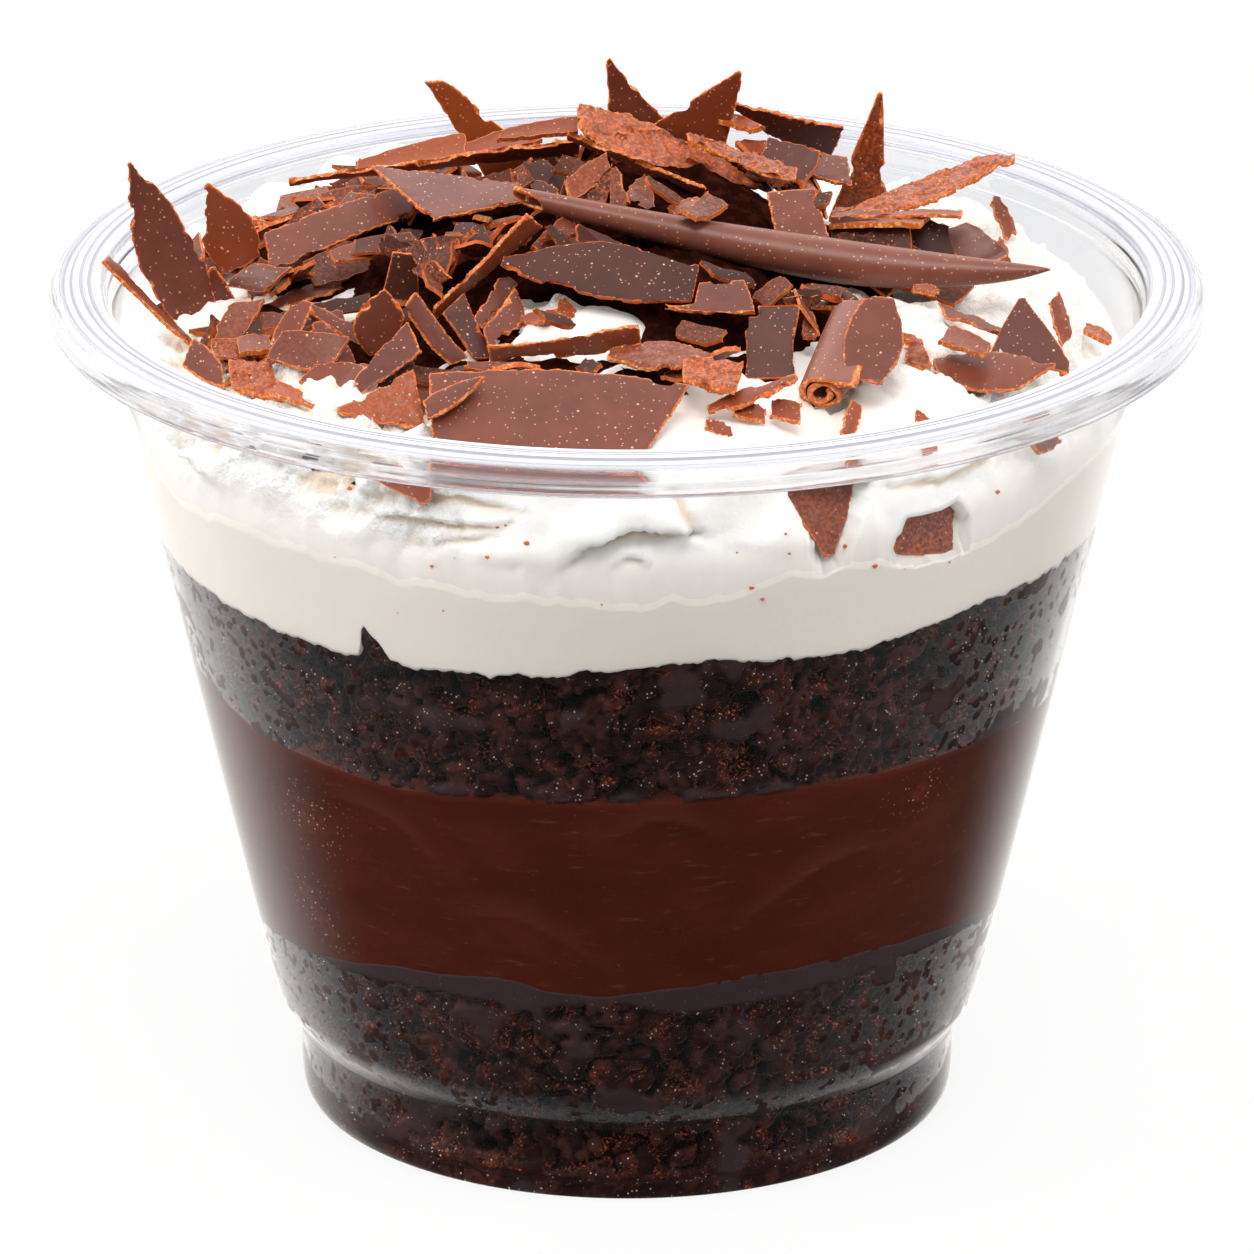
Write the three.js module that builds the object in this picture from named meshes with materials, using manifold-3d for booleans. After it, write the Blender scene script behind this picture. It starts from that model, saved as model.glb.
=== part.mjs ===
// A black forest cake cup: a clear plastic dessert cup filled, from the floor up, with dark
// chocolate cake, chocolate mousse, a second layer of cake and whipped cream, under a loose
// heap of chocolate shavings. All sizes are in millimetres, angles in degrees. +Z is up and
// the origin is the middle of the circle that the cup stands on. The front of the cup looks
// toward -Y. An angle round the cup is counted from the front, and grows toward +X.

import * as THREE from 'three';
import { mergeVertices } from 'three/addons/utils/BufferGeometryUtils.js';
import Module from 'manifold-3d';

const wasm = await Module();
wasm.setup();

// ---- driving dimensions -------------------------------------------------------------------

const CUP = {
  height: 71.5,
  rimRadius: 47.5,
  skirtHeight: 2.9, // the rolled rim hangs this far below the top
  mouthRadius: 43.1, // outside of the wall, just under the rim
  mouthZ: 69,
  coneRadius: 29.7, // outside of the wall, where the cone meets the shoulder
  coneZ: 10.3,
  bandRadius: 27.5, // the upright band between shoulder and foot
  bandZ: 7,
  footRadius: 26,
  ringRadius: 22.5, // the foot is a flat ring from here to footRadius
  recess: 0.8, // how far the floor is lifted inside that ring
  wall: 0.5,
  segments: 36,
};

const GAP = 0.3; // left between pieces that touch
const SECTORS = 32; // round a layer of the filling
const CHOCOLATE = 0.6; // thickness of a shaving
const STEPS = 4; // along a flat shaving
const ROLL_STATIONS = 6; // along a rolled one
const ROLL_POINTS = 9; // round a rolled one
const BAR_SIDES = 8;

// Mean heights of the faces between the layers, and how each one wanders round the cup:
// [waves round, height of a wave, angle of its crest].
const CAKE_TO_MOUSSE = { z: 19.3, waves: [[1, 2, 15], [3, 0.35, 60], [7, 0.25, 20]] };
const MOUSSE_TO_CAKE = { z: 38.6, waves: [[1, 0.2, 20], [2, 0.4, 100], [5, 0.3, 10]] };
const CAKE_TO_CREAM = { z: 51, waves: [[1, 0.8, 70], [3, 0.4, 45], [6, 0.25, 8]] };

const CREAM = {
  frontZ: 57.4, // where the cream leaves the wall at the front
  sideZ: 67.3, // where it does at the sides, behind the middle
  backDip: 3.6, // how much lower that line is at the very back
  riseFrom: 60, // angle from the front at which the line starts to climb
  riseTo: 108,
  crownZ: 72, // top of the dome
  shoulderZ: 68, // where its steep flank ends
  swell: 2.2, // how much higher that is at both sides of the back
  swellBand: [60, 110, 150, 172], // angles where the swell starts, is full, wanes and ends
  shoulderRadius: 34,
  shoulderLean: 2.5, // that flank stands further out on one side
  leanAngle: -55,
  rings: 6,
};

// Lumps and folds left by the spoon: angle, radius, height and reach of each.
const CREAM_LUMPS = [
  { angle: -8, radius: 37, height: 1.3, reach: 5 },
  { angle: 6, radius: 35.5, height: 1.1, reach: 4 },
  { angle: 24, radius: 34, height: 1.2, reach: 6 },
  { angle: 52, radius: 35, height: 2.2, reach: 8 },
  { angle: -30, radius: 36, height: 1.1, reach: 4 },
  { angle: -50, radius: 37, height: 1.4, reach: 5 },
  { angle: 78, radius: 33, height: 1.6, reach: 5 },
  { angle: 112, radius: 34, height: 1.5, reach: 6 },
  { angle: 160, radius: 35, height: 1.2, reach: 7 },
  { angle: -140, radius: 34, height: 1.4, reach: 6 },
  { angle: -104, radius: 38, height: 1.2, reach: 5 },
];

const HEAP = {
  reach: 31, // mean radius of the heap in plan
  lean: 7, // it lies further out on one side
  leanAngle: -50,
  edgeDepth: 1.6, // over the cream, all round
  swell: 3, // and more further in
  peak: [1, 5, 5], // place of its highest point and what it adds
  peakReach: 14,
  rings: 4,
};

// ---- small helpers ------------------------------------------------------------------------

const TAU = 2 * Math.PI;
const radians = (degrees) => (degrees * Math.PI) / 180;
const mix = (a, b, t) => a + (b - a) * t;

function smooth(from, to, value) {
  const t = Math.min(1, Math.max(0, (value - from) / (to - from)));
  return t * t * (3 - 2 * t);
}

// The point at an angle round the cup, a radius and a height.
function around(angle, radius, z) {
  return new THREE.Vector3(radius * Math.sin(radians(angle)), -radius * Math.cos(radians(angle)), z);
}

// The direction that a face looks in: round the cup, and up from level.
function facing([round, up]) {
  const flat = Math.cos(radians(up));
  return around(round, flat, Math.sin(radians(up)));
}

// A closed body from rings of points, all of one length: a skin between neighbouring rings, and
// a cap over the first and the last. A cap is a list of triangles of ring places, or a fan.
function bodyFromRings(rings, cap = null) {
  const count = rings[0].length;
  const points = rings.flat();
  const faces = [];
  for (let ring = 0; ring + 1 < rings.length; ring += 1) {
    for (let i = 0; i < count; i += 1) {
      const a = ring * count + i;
      const b = ring * count + ((i + 1) % count);
      faces.push(a, b, b + count, a, b + count, a + count);
    }
  }
  for (const [ring, outward] of [[0, false], [rings.length - 1, true]]) {
    const first = ring * count;
    let triangles = cap;
    if (!triangles) {
      const middle = rings[ring].reduce((sum, p) => sum.add(p), new THREE.Vector3());
      triangles = rings[ring].map((_, i) => [points.length - first, i, (i + 1) % count]);
      points.push(middle.divideScalar(count));
    }
    for (const [a, b, c] of triangles) {
      faces.push(first + a, ...(outward ? [first + b, first + c] : [first + c, first + b]));
    }
  }
  const geometry = new THREE.BufferGeometry().setFromPoints(points);
  geometry.setIndex(faces);
  return geometry;
}

function toManifold(geometry) {
  const bare = geometry.clone();
  bare.deleteAttribute('normal');
  bare.deleteAttribute('uv');
  const merged = mergeVertices(bare, 1e-4);
  const vertProperties = new Float32Array(merged.attributes.position.array);
  const triVerts = new Uint32Array(merged.index.array);
  return new wasm.Manifold(new wasm.Mesh({ numProp: 3, vertProperties, triVerts }));
}

// The largest piece of a solid that cuts may have parted.
function largest(solid) {
  const pieces = solid.decompose();
  return pieces.reduce((best, piece) => (piece.volume() > best.volume() ? piece : best));
}

function toGeometry(solid) {
  const { vertProperties, triVerts } = solid.getMesh();
  const geometry = new THREE.BufferGeometry();
  geometry.setAttribute('position', new THREE.BufferAttribute(vertProperties, 3));
  geometry.setIndex(new THREE.BufferAttribute(triVerts, 1));
  return geometry;
}

// ---- cup ----------------------------------------------------------------------------------

// The wall from foot to mouth, as [height, radius] of its outside and of its inside.
const FLOOR = CUP.recess + CUP.wall + 0.1;
const SHOULDER = [
  [CUP.bandZ - 0.4, CUP.bandRadius],
  [CUP.bandZ + 0.5, CUP.bandRadius + 0.5],
  [CUP.coneZ - 1.1, CUP.coneRadius - 0.5],
  [CUP.coneZ, CUP.coneRadius],
];
const OUTSIDE = [
  [0.6, CUP.bandRadius - 0.4],
  [1.6, CUP.bandRadius - 0.1],
  ...SHOULDER,
  [CUP.mouthZ, CUP.mouthRadius],
];
const INSIDE = [
  [FLOOR, CUP.bandRadius - CUP.wall - 1],
  [FLOOR + 0.8, CUP.bandRadius - CUP.wall - 0.1],
  ...SHOULDER.map(([z, r]) => [z, r - CUP.wall]),
  [CUP.mouthZ, CUP.mouthRadius - CUP.wall],
];

// Inside radius of the cup at a height.
function insideRadius(z) {
  const place = INSIDE.findIndex(([level]) => level > z);
  const last = place < 1 ? (z < FLOOR ? 1 : INSIDE.length - 1) : place;
  const [[lowZ, lowR], [highZ, highR]] = [INSIDE[last - 1], INSIDE[last]];
  return mix(lowR, highR, (z - lowZ) / (highZ - lowZ));
}

function cupGeometry() {
  const { height, rimRadius, skirtHeight, mouthRadius, footRadius, ringRadius, recess } = CUP;
  const skirtZ = height - skirtHeight;
  const foot = [[0, recess], [ringRadius - 1, recess], [ringRadius, 0], [footRadius, 0]];
  const rim = [
    [mouthRadius + 0.3, height - 0.9],
    [rimRadius - 1.7, height - 0.75],
    [rimRadius - 0.9, height - 1.5],
    [rimRadius - 0.8, skirtZ + 0.3],
    [rimRadius - 0.3, skirtZ],
    [rimRadius, skirtZ + 0.5],
    [rimRadius, height - 1.4],
    [rimRadius - 0.6, height - 0.5],
    [rimRadius - 1.6, height - 0.1],
    [mouthRadius + 1.2, height],
    [mouthRadius - 0.2, height - 0.7],
  ];
  const profile = [
    ...foot,
    ...OUTSIDE.map(([z, r]) => [r, z]),
    ...rim,
    ...INSIDE.map(([z, r]) => [r, z]).reverse(),
    [0, FLOOR],
  ];
  const points = profile.map(([r, z]) => new THREE.Vector2(r, z));
  return new THREE.LatheGeometry(points, CUP.segments).rotateX(Math.PI / 2);
}

// ---- layers of the filling ----------------------------------------------------------------

function boundary({ z, waves }, angle, share) {
  const swing = waves.reduce((sum, [times, size, crest]) => {
    return sum + size * Math.cos(times * radians(angle - crest));
  }, 0);
  return z + swing * share * share;
}

// Radius of what fills the cup, at a height.
const fillRadius = (z) => insideRadius(z) - 1.05 * GAP;

// A layer between two surfaces. low and high give a height from an angle and from the share of
// the way out to the wall. heights are extra levels that its side goes through.
function layerGeometry(low, high, { heights = [], topShares = [0.5] } = {}) {
  const ring = (heightAt, radiusAt) => {
    return Array.from({ length: SECTORS }, (_, i) => {
      const angle = (360 * i) / SECTORS;
      const z = heightAt(angle);
      return around(angle, radiusAt(z, angle), z);
    });
  };
  const ringOn = (surface, share) => {
    return ring((angle) => surface(angle, share), (z, angle) => share * fillRadius(surface(angle, 1)));
  };
  return bodyFromRings([
    ringOn(low, 0.5),
    ringOn(low, 1),
    ...heights.map((z) => ring(() => z, fillRadius)),
    ringOn(high, 1),
    ...topShares.map((share) => ringOn(high, share)).reverse(),
  ]);
}

// Angle away from the front, on either side.
const turnFromFront = (angle) => Math.abs(((angle + 180) % 360) - 180);

// How far the cream swells up behind the middle, on both sides.
function creamSwell(angle) {
  const turn = turnFromFront(angle);
  const [start, full, wane, end] = CREAM.swellBand;
  return CREAM.swell * smooth(start, full, turn) * smooth(end, wane, turn);
}

// Height at which the cream leaves the wall.
function creamLine(angle) {
  const turn = turnFromFront(angle);
  const climb = smooth(CREAM.riseFrom, CREAM.riseTo, turn);
  const dip = CREAM.backDip * smooth(125, 170, turn);
  const wobble = 0.5 * Math.sin(radians(4 * angle + 20)) + 0.4 * Math.sin(radians(9 * angle - 60));
  return mix(CREAM.frontZ, CREAM.sideZ, climb) - dip + wobble;
}

// Top of the cream: a steep flank at the front, a shallow one at the back, and a round crown.
function creamTop(angle, share) {
  const edge = creamLine(angle);
  const shoulder = Math.max(CREAM.shoulderZ, edge + 0.5) + creamSwell(angle);
  const edgeRadius = fillRadius(edge);
  const radius = share * edgeRadius;
  const lean = CREAM.shoulderLean * Math.cos(radians(angle - CREAM.leanAngle));
  const shoulderRadius = CREAM.shoulderRadius + lean;
  let z;
  if (radius > shoulderRadius) {
    const t = (edgeRadius - radius) / (edgeRadius - shoulderRadius);
    z = mix(edge, shoulder, Math.sin((t * Math.PI) / 2));
  } else {
    const t = radius / shoulderRadius;
    z = mix(CREAM.crownZ, shoulder, t * t);
  }
  const here = around(angle, radius, 0);
  for (const lump of CREAM_LUMPS) {
    const away = here.distanceTo(around(lump.angle, lump.radius, 0)) / lump.reach;
    z += lump.height * Math.exp(-away * away) * smooth(1, 0.93, share);
  }
  return z;
}

const half = GAP / 2;
const between = (surface, shift) => (angle, share) => boundary(surface, angle, share) + shift;
const creamShares = Array.from({ length: CREAM.rings }, (_, i) => 0.96 * ((i + 1) / CREAM.rings) ** 0.8);

function creamGeometry() {
  return layerGeometry(between(CAKE_TO_CREAM, half), creamTop, { topShares: creamShares });
}

// ---- shavings -----------------------------------------------------------------------------

// The frame of a flat shaving: along it, across it, and out of its face.
function shardFrame({ from, to, faces }) {
  const start = new THREE.Vector3(...from);
  const along = new THREE.Vector3(...to).sub(start);
  const length = along.length();
  along.normalize();
  const face = facing(faces);
  face.addScaledVector(along, -face.dot(along)).normalize();
  const across = new THREE.Vector3().crossVectors(face, along);
  return { start, along, across, face, length };
}

// A flat or bowed shaving. It runs from `from` to `to`, is wide[0] and wide[1] across at its
// ends and belly more in the middle, its ends are cut slant[0] and slant[1] out of square, its
// face looks toward `faces`, and its middle stands `bow` out of that face.
function flatShard(spec, grow, mostSteps) {
  const { wide = [3, 3], belly = 0, slant = [0, 0], bow = 0, thick = CHOCOLATE } = spec;
  const { start, along, across, face, length } = shardFrame(spec);
  const steps = belly === 0 && bow === 0 ? mostSteps / 2 : mostSteps;
  const sections = [];
  for (let step = 0; step <= steps; step += 1) {
    const t = step / steps;
    const chip = 0.12 * Math.sin(7 * step + 3 * length);
    const arch = Math.sin(Math.PI * t);
    const halfWidth = Math.max(0.15, mix(wide[0], wide[1], t) / 2 + (belly / 2 + chip) * arch) + grow;
    const lift = bow * arch;
    const reach = mix(-grow, length + grow, t);
    const halfSlant = mix(slant[0], slant[1], t) / 2;
    const corner = (side, level) => {
      return start.clone()
        .addScaledVector(along, reach + side * halfSlant)
        .addScaledVector(across, side * halfWidth)
        .addScaledVector(face, lift + level * (thick / 2 + grow));
    };
    sections.push([corner(-1, -1), corner(1, -1), corner(1, 1), corner(-1, 1)]);
  }
  return bodyFromRings(sections);
}

// A section of rolled chocolate: a sheet whose outer end is a straight flap and which then
// winds in, from the angle `seam`. Points go round the section, outer skin first.
function rolledSection({ radius, turns, seam, flap, squash }) {
  const thick = Math.min(CHOCOLATE, 0.3 * radius);
  const pitch = thick + Math.min(0.15, 0.1 * radius);
  const begin = radians(seam);
  const line = [];
  if (flap > 0) {
    const x = -radius * Math.sin(begin) + flap * Math.cos(begin);
    line.push({ x, y: radius * Math.cos(begin) + flap * Math.sin(begin) });
  }
  for (let i = 0; i <= ROLL_POINTS; i += 1) {
    const turned = (turns * i) / ROLL_POINTS;
    const reach = radius - pitch * turned;
    const angle = begin + TAU * turned;
    line.push({ x: -reach * Math.sin(angle), y: reach * Math.cos(angle) });
  }
  const inner = line.map((p, i) => {
    const before = line[Math.max(0, i - 1)];
    const after = line[Math.min(line.length - 1, i + 1)];
    const share = thick / Math.hypot(after.x - before.x, after.y - before.y);
    return { x: p.x - (after.y - before.y) * share, y: p.y + (after.x - before.x) * share };
  });
  return [...line, ...inner.reverse()].map(({ x, y }) => new THREE.Vector2(x, y * squash));
}

// The plain bar that clears a place for a roll, `grow` larger all round.
function barSection({ radius, flap, squash }, grow) {
  const reach = radius + grow;
  const depth = reach * mix(squash, 1, 0.2);
  const count = flap > 0 ? BAR_SIDES + 1 : BAR_SIDES;
  return Array.from({ length: count }, (_, i) => {
    const angle = (TAU * i) / BAR_SIDES;
    const beyond = i > BAR_SIDES / 2 ? flap : 0;
    return new THREE.Vector2(beyond - reach * Math.sin(angle), depth * Math.cos(angle));
  });
}

// A rolled shaving, swept from `from` to `to`, along its top line, while its radius changes.
function rolledShard(spec, grow) {
  const { start, along, across, face, length } = shardFrame(spec);
  const { radiusAt, squash = 1, flap = 0, bow = 0 } = spec;
  const rings = [];
  let cap = null;
  for (let station = 0; station <= ROLL_STATIONS; station += 1) {
    const t = station / ROLL_STATIONS;
    const roll = { ...spec, radius: radiusAt(t), squash, flap: flap * mix(0.6, 1, t) };
    const section = grow > 0 ? barSection(roll, grow) : rolledSection(roll);
    cap ??= THREE.ShapeUtils.triangulateShape(section, []);
    const middle = start.clone()
      .addScaledVector(along, mix(-grow, length + grow, t))
      .addScaledVector(face, bow * Math.sin(Math.PI * t) - roll.radius * squash);
    rings.push(section.map(({ x, y }) => {
      return middle.clone().addScaledVector(across, x).addScaledVector(face, y);
    }));
  }
  return bodyFromRings(rings, cap);
}

const shardSolid = (spec, grow, steps = STEPS) => {
  return toManifold(spec.radiusAt ? rolledShard(spec, grow) : flatShard(spec, grow, steps));
};

// The long quill: a narrow roll that swells toward two thirds of its length, then runs out to a
// point. The curl: a flattened roll with a flap.
const quillRadius = (t) => (t < 0.6
  ? mix(1, 2.2, smooth(-0.1, 0.62, t))
  : Math.max(0.12, 2.2 * (1 - ((t - 0.6) / 0.4) ** 2) ** 0.75));
const curlRadius = (t) => mix(3, 2.1, t);

// Every large shaving. Earlier ones keep their whole shape, and later ones are cut clear of them.
const SHARDS = [
  { name: 'quill_long', from: [-8, -6, 80.5], to: [34.5, -8, 74.5], faces: [0, 65],
    radiusAt: quillRadius, turns: 1.3, seam: 125, bow: -0.8 },
  { name: 'curl_front', from: [19, -18, 75], to: [15.5, -27, 70.8], faces: [0, 80],
    radiusAt: curlRadius, turns: 1.25, seam: 0, flap: 3, squash: 0.72 },

  // in front of the heap and on the cream
  { name: 'plate_front', from: [-15.5, -33, 70.5], to: [3, -34, 70], faces: [0, 60],
    wide: [9, 9], belly: 1.5, slant: [-1, 3.5] },
  { name: 'blade_front', from: [-11.5, -31.4, 73], to: [-16, -33.4, 71], faces: [-25, 60],
    wide: [0.4, 2], belly: 1.2, slant: [0.8, 0.7] },
  { name: 'rough_front', from: [-23, -29.8, 69.9], to: [-16.5, -28.8, 70.4], faces: [0, 55],
    wide: [0.5, 6] },
  { name: 'plate_mid_left', from: [-17, -23.5, 74], to: [-21.5, -26.5, 70.5], faces: [-20, 50],
    wide: [3, 1.5], slant: [1.5, 0.8] },
  { name: 'leaf_mid', from: [-10, -13, 76.5], to: [5.5, -15, 75.5], faces: [0, 60],
    wide: [1, 4], belly: 3.6, bow: 0.6 },
  { name: 'leaf_mid_low', from: [2, -16.5, 74.5], to: [10, -16.5, 75], faces: [-10, 65],
    wide: [0.8, 3.6], belly: 1.2, slant: [0, -0.8] },
  { name: 'blade_front_right', from: [13.5, -29.5, 72.5], to: [6.5, -30.5, 70], faces: [-35, 65],
    wide: [0.6, 0.8], belly: 1.6 },
  { name: 'plate_curl', from: [20.5, -20.4, 76.2], to: [19, -27.2, 71.4], faces: [0, 55],
    wide: [2, 3], belly: 2 },
  { name: 'strip_up_mid', from: [-17.5, -20.5, 76], to: [-13.5, -21.5, 71], faces: [25, 25],
    wide: [1.7, 1.7], slant: [-0.4, 0.5] },
  { name: 'leaf_up_left', from: [-20, -19, 76], to: [-20, -19, 71], faces: [0, 0],
    wide: [1.2, 1.2], belly: 3, slant: [-0.9, -0.7] },
  { name: 'finger_left', from: [-26, -15, 74], to: [-28.5, -19, 69.5], faces: [-20, 45],
    wide: [1.7, 1.5], belly: 0.5, bow: 0.4 },
  { name: 'leaf_left', from: [-25, -17.5, 73], to: [-22, -22.5, 68.5], faces: [30, 50],
    wide: [1.5, 0.8], belly: 2.4 },
  { name: 'strip_mid_left', from: [-25.5, -14.5, 73], to: [-21, -15.5, 70.5], faces: [40, 55],
    wide: [1, 2.4], slant: [-1, -2] },
  { name: 'rim_chip_left', from: [-35.5, -17.5, 70.5], to: [-32.5, -20.5, 69.5], faces: [-30, 60],
    wide: [2.6, 1.8], slant: [-1.3, -2.3] },
  { name: 'rough_left', from: [-32, -21.5, 70], to: [-28, -22.5, 69.5], faces: [0, 70],
    wide: [3.3, 4.3], slant: [-1.5, -2] },
  { name: 'dark_up_mid', from: [-14, -18, 75], to: [-11.5, -20.5, 71], faces: [25, 40],
    wide: [2.5, 1.6], slant: [-1, 0.4] },
  { name: 'slab_mid_a', from: [-12, -18, 73], to: [-9.5, -12, 75], faces: [40, 55],
    wide: [1, 1.6] },
  { name: 'slab_mid_b', from: [-11.5, -20.5, 72.5], to: [-8.5, -15.5, 74], faces: [40, 55],
    wide: [1.8, 2.3], slant: [1.7, 2] },
  { name: 'dark_strip_mid', from: [-11, -22, 72], to: [1, -22, 73.5], faces: [0, -10],
    wide: [1.6, 2], bow: 0.5 },
  { name: 'leaf_front_mid', from: [-1.5, -23.5, 72.5], to: [7, -24.5, 72.5], faces: [0, 75],
    wide: [1.7, 0.5], belly: 2.8 },
  { name: 'rough_front_mid', from: [4.5, -27.5, 72.5], to: [9, -28.5, 72], faces: [0, 80],
    wide: [3.5, 5], slant: [-0.9, -0.5] },
  { name: 'plate_mid_right', from: [11.5, -17.5, 74.5], to: [11.5, -22.5, 70], faces: [0, 50],
    wide: [4.6, 4.1], belly: -0.6 },
  { name: 'edge_mid', from: [-15.5, -15, 73], to: [-7.5, -9, 79], faces: [50, -25],
    wide: [1.5, 3.4], slant: [0, -1] },
  { name: 'dark_up_left', from: [-18, -10, 76.5], to: [-18.5, -10, 72.5], faces: [10, 0],
    wide: [2, 3], slant: [0, 0.9] },

  // stuck to the flank of the cream
  { name: 'chip_cream_large', from: [15, -32.5, 65], to: [16, -36.5, 60], faces: [25, 35],
    wide: [6.6, 0.8], slant: [-0.5, 0] },
  { name: 'chip_cream_small', from: [23.5, -30, 61.5], to: [23.5, -31.5, 58.5], faces: [40, 30],
    wide: [6, 5.8], slant: [-1.9, -0.5] },

  // standing at the left
  { name: 'blade_left', from: [-40.5, -4.5, 82.5], to: [-34, -5.5, 66], faces: [5, 5],
    wide: [0.4, 1.2], belly: 4.6, slant: [0, 1.5] },
  { name: 'blade_left_pale', from: [-34.5, 0, 79], to: [-31.5, 0, 72], faces: [0, 0],
    wide: [0.4, 3.2], belly: 2.7, slant: [0, -0.5] },
  { name: 'sliver_left', from: [-42.5, -8.5, 75.5], to: [-35.5, -10.5, 69], faces: [85, 48],
    wide: [2.2, 1], belly: 0.6 },
  { name: 'chip_left', from: [-34, -3, 73], to: [-33, -3, 67.5], faces: [10, 0],
    wide: [0.4, 2.5], belly: 1.4, slant: [0, 2] },
  { name: 'plate_left', from: [-29.5, -1.5, 73.5], to: [-17.5, 5.5, 76], faces: [15, 60],
    wide: [4.3, 3], slant: [1.8, 1.5], bow: 0.4 },
  { name: 'strip_left', from: [-31, -8, 70.5], to: [-19.5, 0, 72], faces: [0, 80],
    wide: [0.4, 1.2], belly: 1.6 },

  // leaning at the right
  { name: 'rough_right', from: [23, -16.7, 71.6], to: [23.5, -20.7, 70.1], faces: [0, 70],
    wide: [1.7, 1.8], slant: [0.9, 0.9] },
  { name: 'leaf_rim_right', from: [24.5, -20, 70.2], to: [33, -21.5, 69.7], faces: [0, 70],
    wide: [1.3, 3.6], belly: 2.4, slant: [-0.8, 2.5] },
  { name: 'wedge_right', from: [32, -13.8, 74.1], to: [32.5, -18.2, 69.6], faces: [0, 50],
    wide: [0.5, 7], slant: [0, 1.5] },
  { name: 'strip_right', from: [25.5, -11.8, 72.1], to: [31, -14.8, 71.1], faces: [0, 80],
    wide: [1.6, 1.5], slant: [-1.6, -1.1] },

  // the top and the back
  { name: 'edge_top', from: [-5, 5.5, 81.5], to: [6.5, 2.5, 77.5], faces: [-35, -45],
    wide: [1.6, 2.2] },
  { name: 'rough_top', from: [-4, 12.5, 81], to: [9, 11.5, 74.5], faces: [45, 60],
    wide: [2.6, 4.2], belly: 3.3, slant: [-1, 4.5] },
  { name: 'square_mid', from: [13.5, 1.5, 78], to: [14.5, -3.5, 75.5], faces: [0, 60],
    wide: [3.9, 4.4], slant: [0.4, 1.3] },
  { name: 'plate_top_left', from: [-18.5, 1, 78], to: [-8.5, 1, 78], faces: [0, 80],
    wide: [9.5, 3], slant: [-5.5, -0.8] },
  { name: 'strip_top_left', from: [-28, 7, 77], to: [-4, 9, 79.5], faces: [10, -50],
    wide: [1, 3.2] },
  { name: 'strip_top_mid', from: [5, 11, 79.5], to: [14, 7, 77.5], faces: [50, 80],
    wide: [1.4, 2.3], belly: 0.9, slant: [-0.9, -0.7] },
  { name: 'plate_back_right', from: [13.5, 14.3, 76.7], to: [18.5, 11.8, 76.2], faces: [0, 70],
    wide: [3.5, 3.7], slant: [-1.4, -2.2] },
  { name: 'fan_back_upper', from: [32, 11, 78], to: [18, 4, 74.5], faces: [-50, 80],
    wide: [1.2, 2.6], belly: 2.5, slant: [0.8, 1.3] },
  { name: 'fan_back_lower', from: [29.5, 13.5, 76.5], to: [18, 9, 72.5], faces: [-50, 75],
    wide: [2.1, 4], slant: [0.9, 1] },
  { name: 'strip_back', from: [17, 5, 75], to: [27.5, 1.5, 76], faces: [-170, 80],
    wide: [4.5, 3], slant: [-1, -0.7] },
  { name: 'spike_back', from: [21, 15.5, 82], to: [19.2, 17.3, 69], faces: [0, -5],
    wide: [0.4, 5.2] },
  { name: 'dark_back', from: [9, 16.6, 80], to: [17.5, 18.3, 76.4], faces: [5, -35],
    wide: [1.5, 5], slant: [-1.7, -1] },
  { name: 'fin_back_left', from: [-16, 20, 81.5], to: [-8, 20, 72.5], faces: [0, 0],
    wide: [1.2, 5.5], slant: [1.3, 4] },
  { name: 'fin_back_mid', from: [-1.5, 17, 84.5], to: [2.5, 17, 76], faces: [0, 0],
    wide: [0.4, 7], slant: [0, 4] },
  { name: 'fin_back_right', from: [9.5, 15, 84], to: [4, 16.5, 77], faces: [-5, -10],
    wide: [0.4, 7], slant: [0, -4] },
];

// ---- the loose heap -----------------------------------------------------------------------

// How far the heap reaches at an angle, in plan.
function heapReach(angle) {
  const lean = HEAP.lean * Math.cos(radians(angle - HEAP.leanAngle));
  const ragged = 1.2 * Math.sin(radians(7 * angle)) + 0.8 * Math.sin(radians(13 * angle + 40));
  return HEAP.reach + lean + ragged;
}

// Height of the cream under the heap, and of the heap over the cream.
function heapFloor(angle, radius) {
  return creamTop(angle, radius / fillRadius(creamLine(angle))) - 0.5;
}

function heapDepth(point, angle, share) {
  const [peakX, peakY, peakDepth] = HEAP.peak;
  const away = Math.hypot(point.x - peakX, point.y - peakY) / HEAP.peakReach;
  const uneven = 0.7 * Math.sin(5 * share + radians(5 * angle)) * Math.sin(radians(3 * angle + 50));
  const swell = (HEAP.swell + uneven) * smooth(1, 0.5, share);
  const sunk = 0.3 * creamSwell(angle) * smooth(0.2, 0.8, share);
  return HEAP.edgeDepth + 0.5 - sunk + swell + peakDepth * Math.exp(-away * away);
}

// A ring of points of the heap: a share of the way out, `beyond` further, at a height from a rule.
function heapRing(share, beyond, heightAt) {
  return Array.from({ length: SECTORS }, (_, i) => {
    const angle = (360 * i) / SECTORS;
    const point = around(angle, share * heapReach(angle) + beyond, 0);
    point.z = heightAt(point, angle);
    return point;
  });
}

const heapShares = Array.from({ length: HEAP.rings }, (_, i) => (i + 1) / HEAP.rings);

// The small shavings taken together: a mound on the cream, out to its uneven outline.
function heapGeometry() {
  const floorOf = (point, angle) => heapFloor(angle, Math.hypot(point.x, point.y));
  const bottom = heapShares.map((share) => heapRing(share, 0, floorOf));
  const top = heapShares.map((share) => {
    return heapRing(share, 0, (point, angle) => floorOf(point, angle) + heapDepth(point, angle, share));
  });
  return bodyFromRings([...bottom, ...top.reverse()]);
}

// The bed that the heap has pressed into the cream.
function heapBed() {
  const bottom = heapShares.map((share) => {
    return heapRing(share, share * GAP, (point, angle) => heapFloor(angle, share * heapReach(angle)) - 2 * GAP);
  });
  return bodyFromRings([...bottom, heapRing(1, GAP, () => 100)]);
}

// ---- the whole ----------------------------------------------------------------------------

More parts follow.
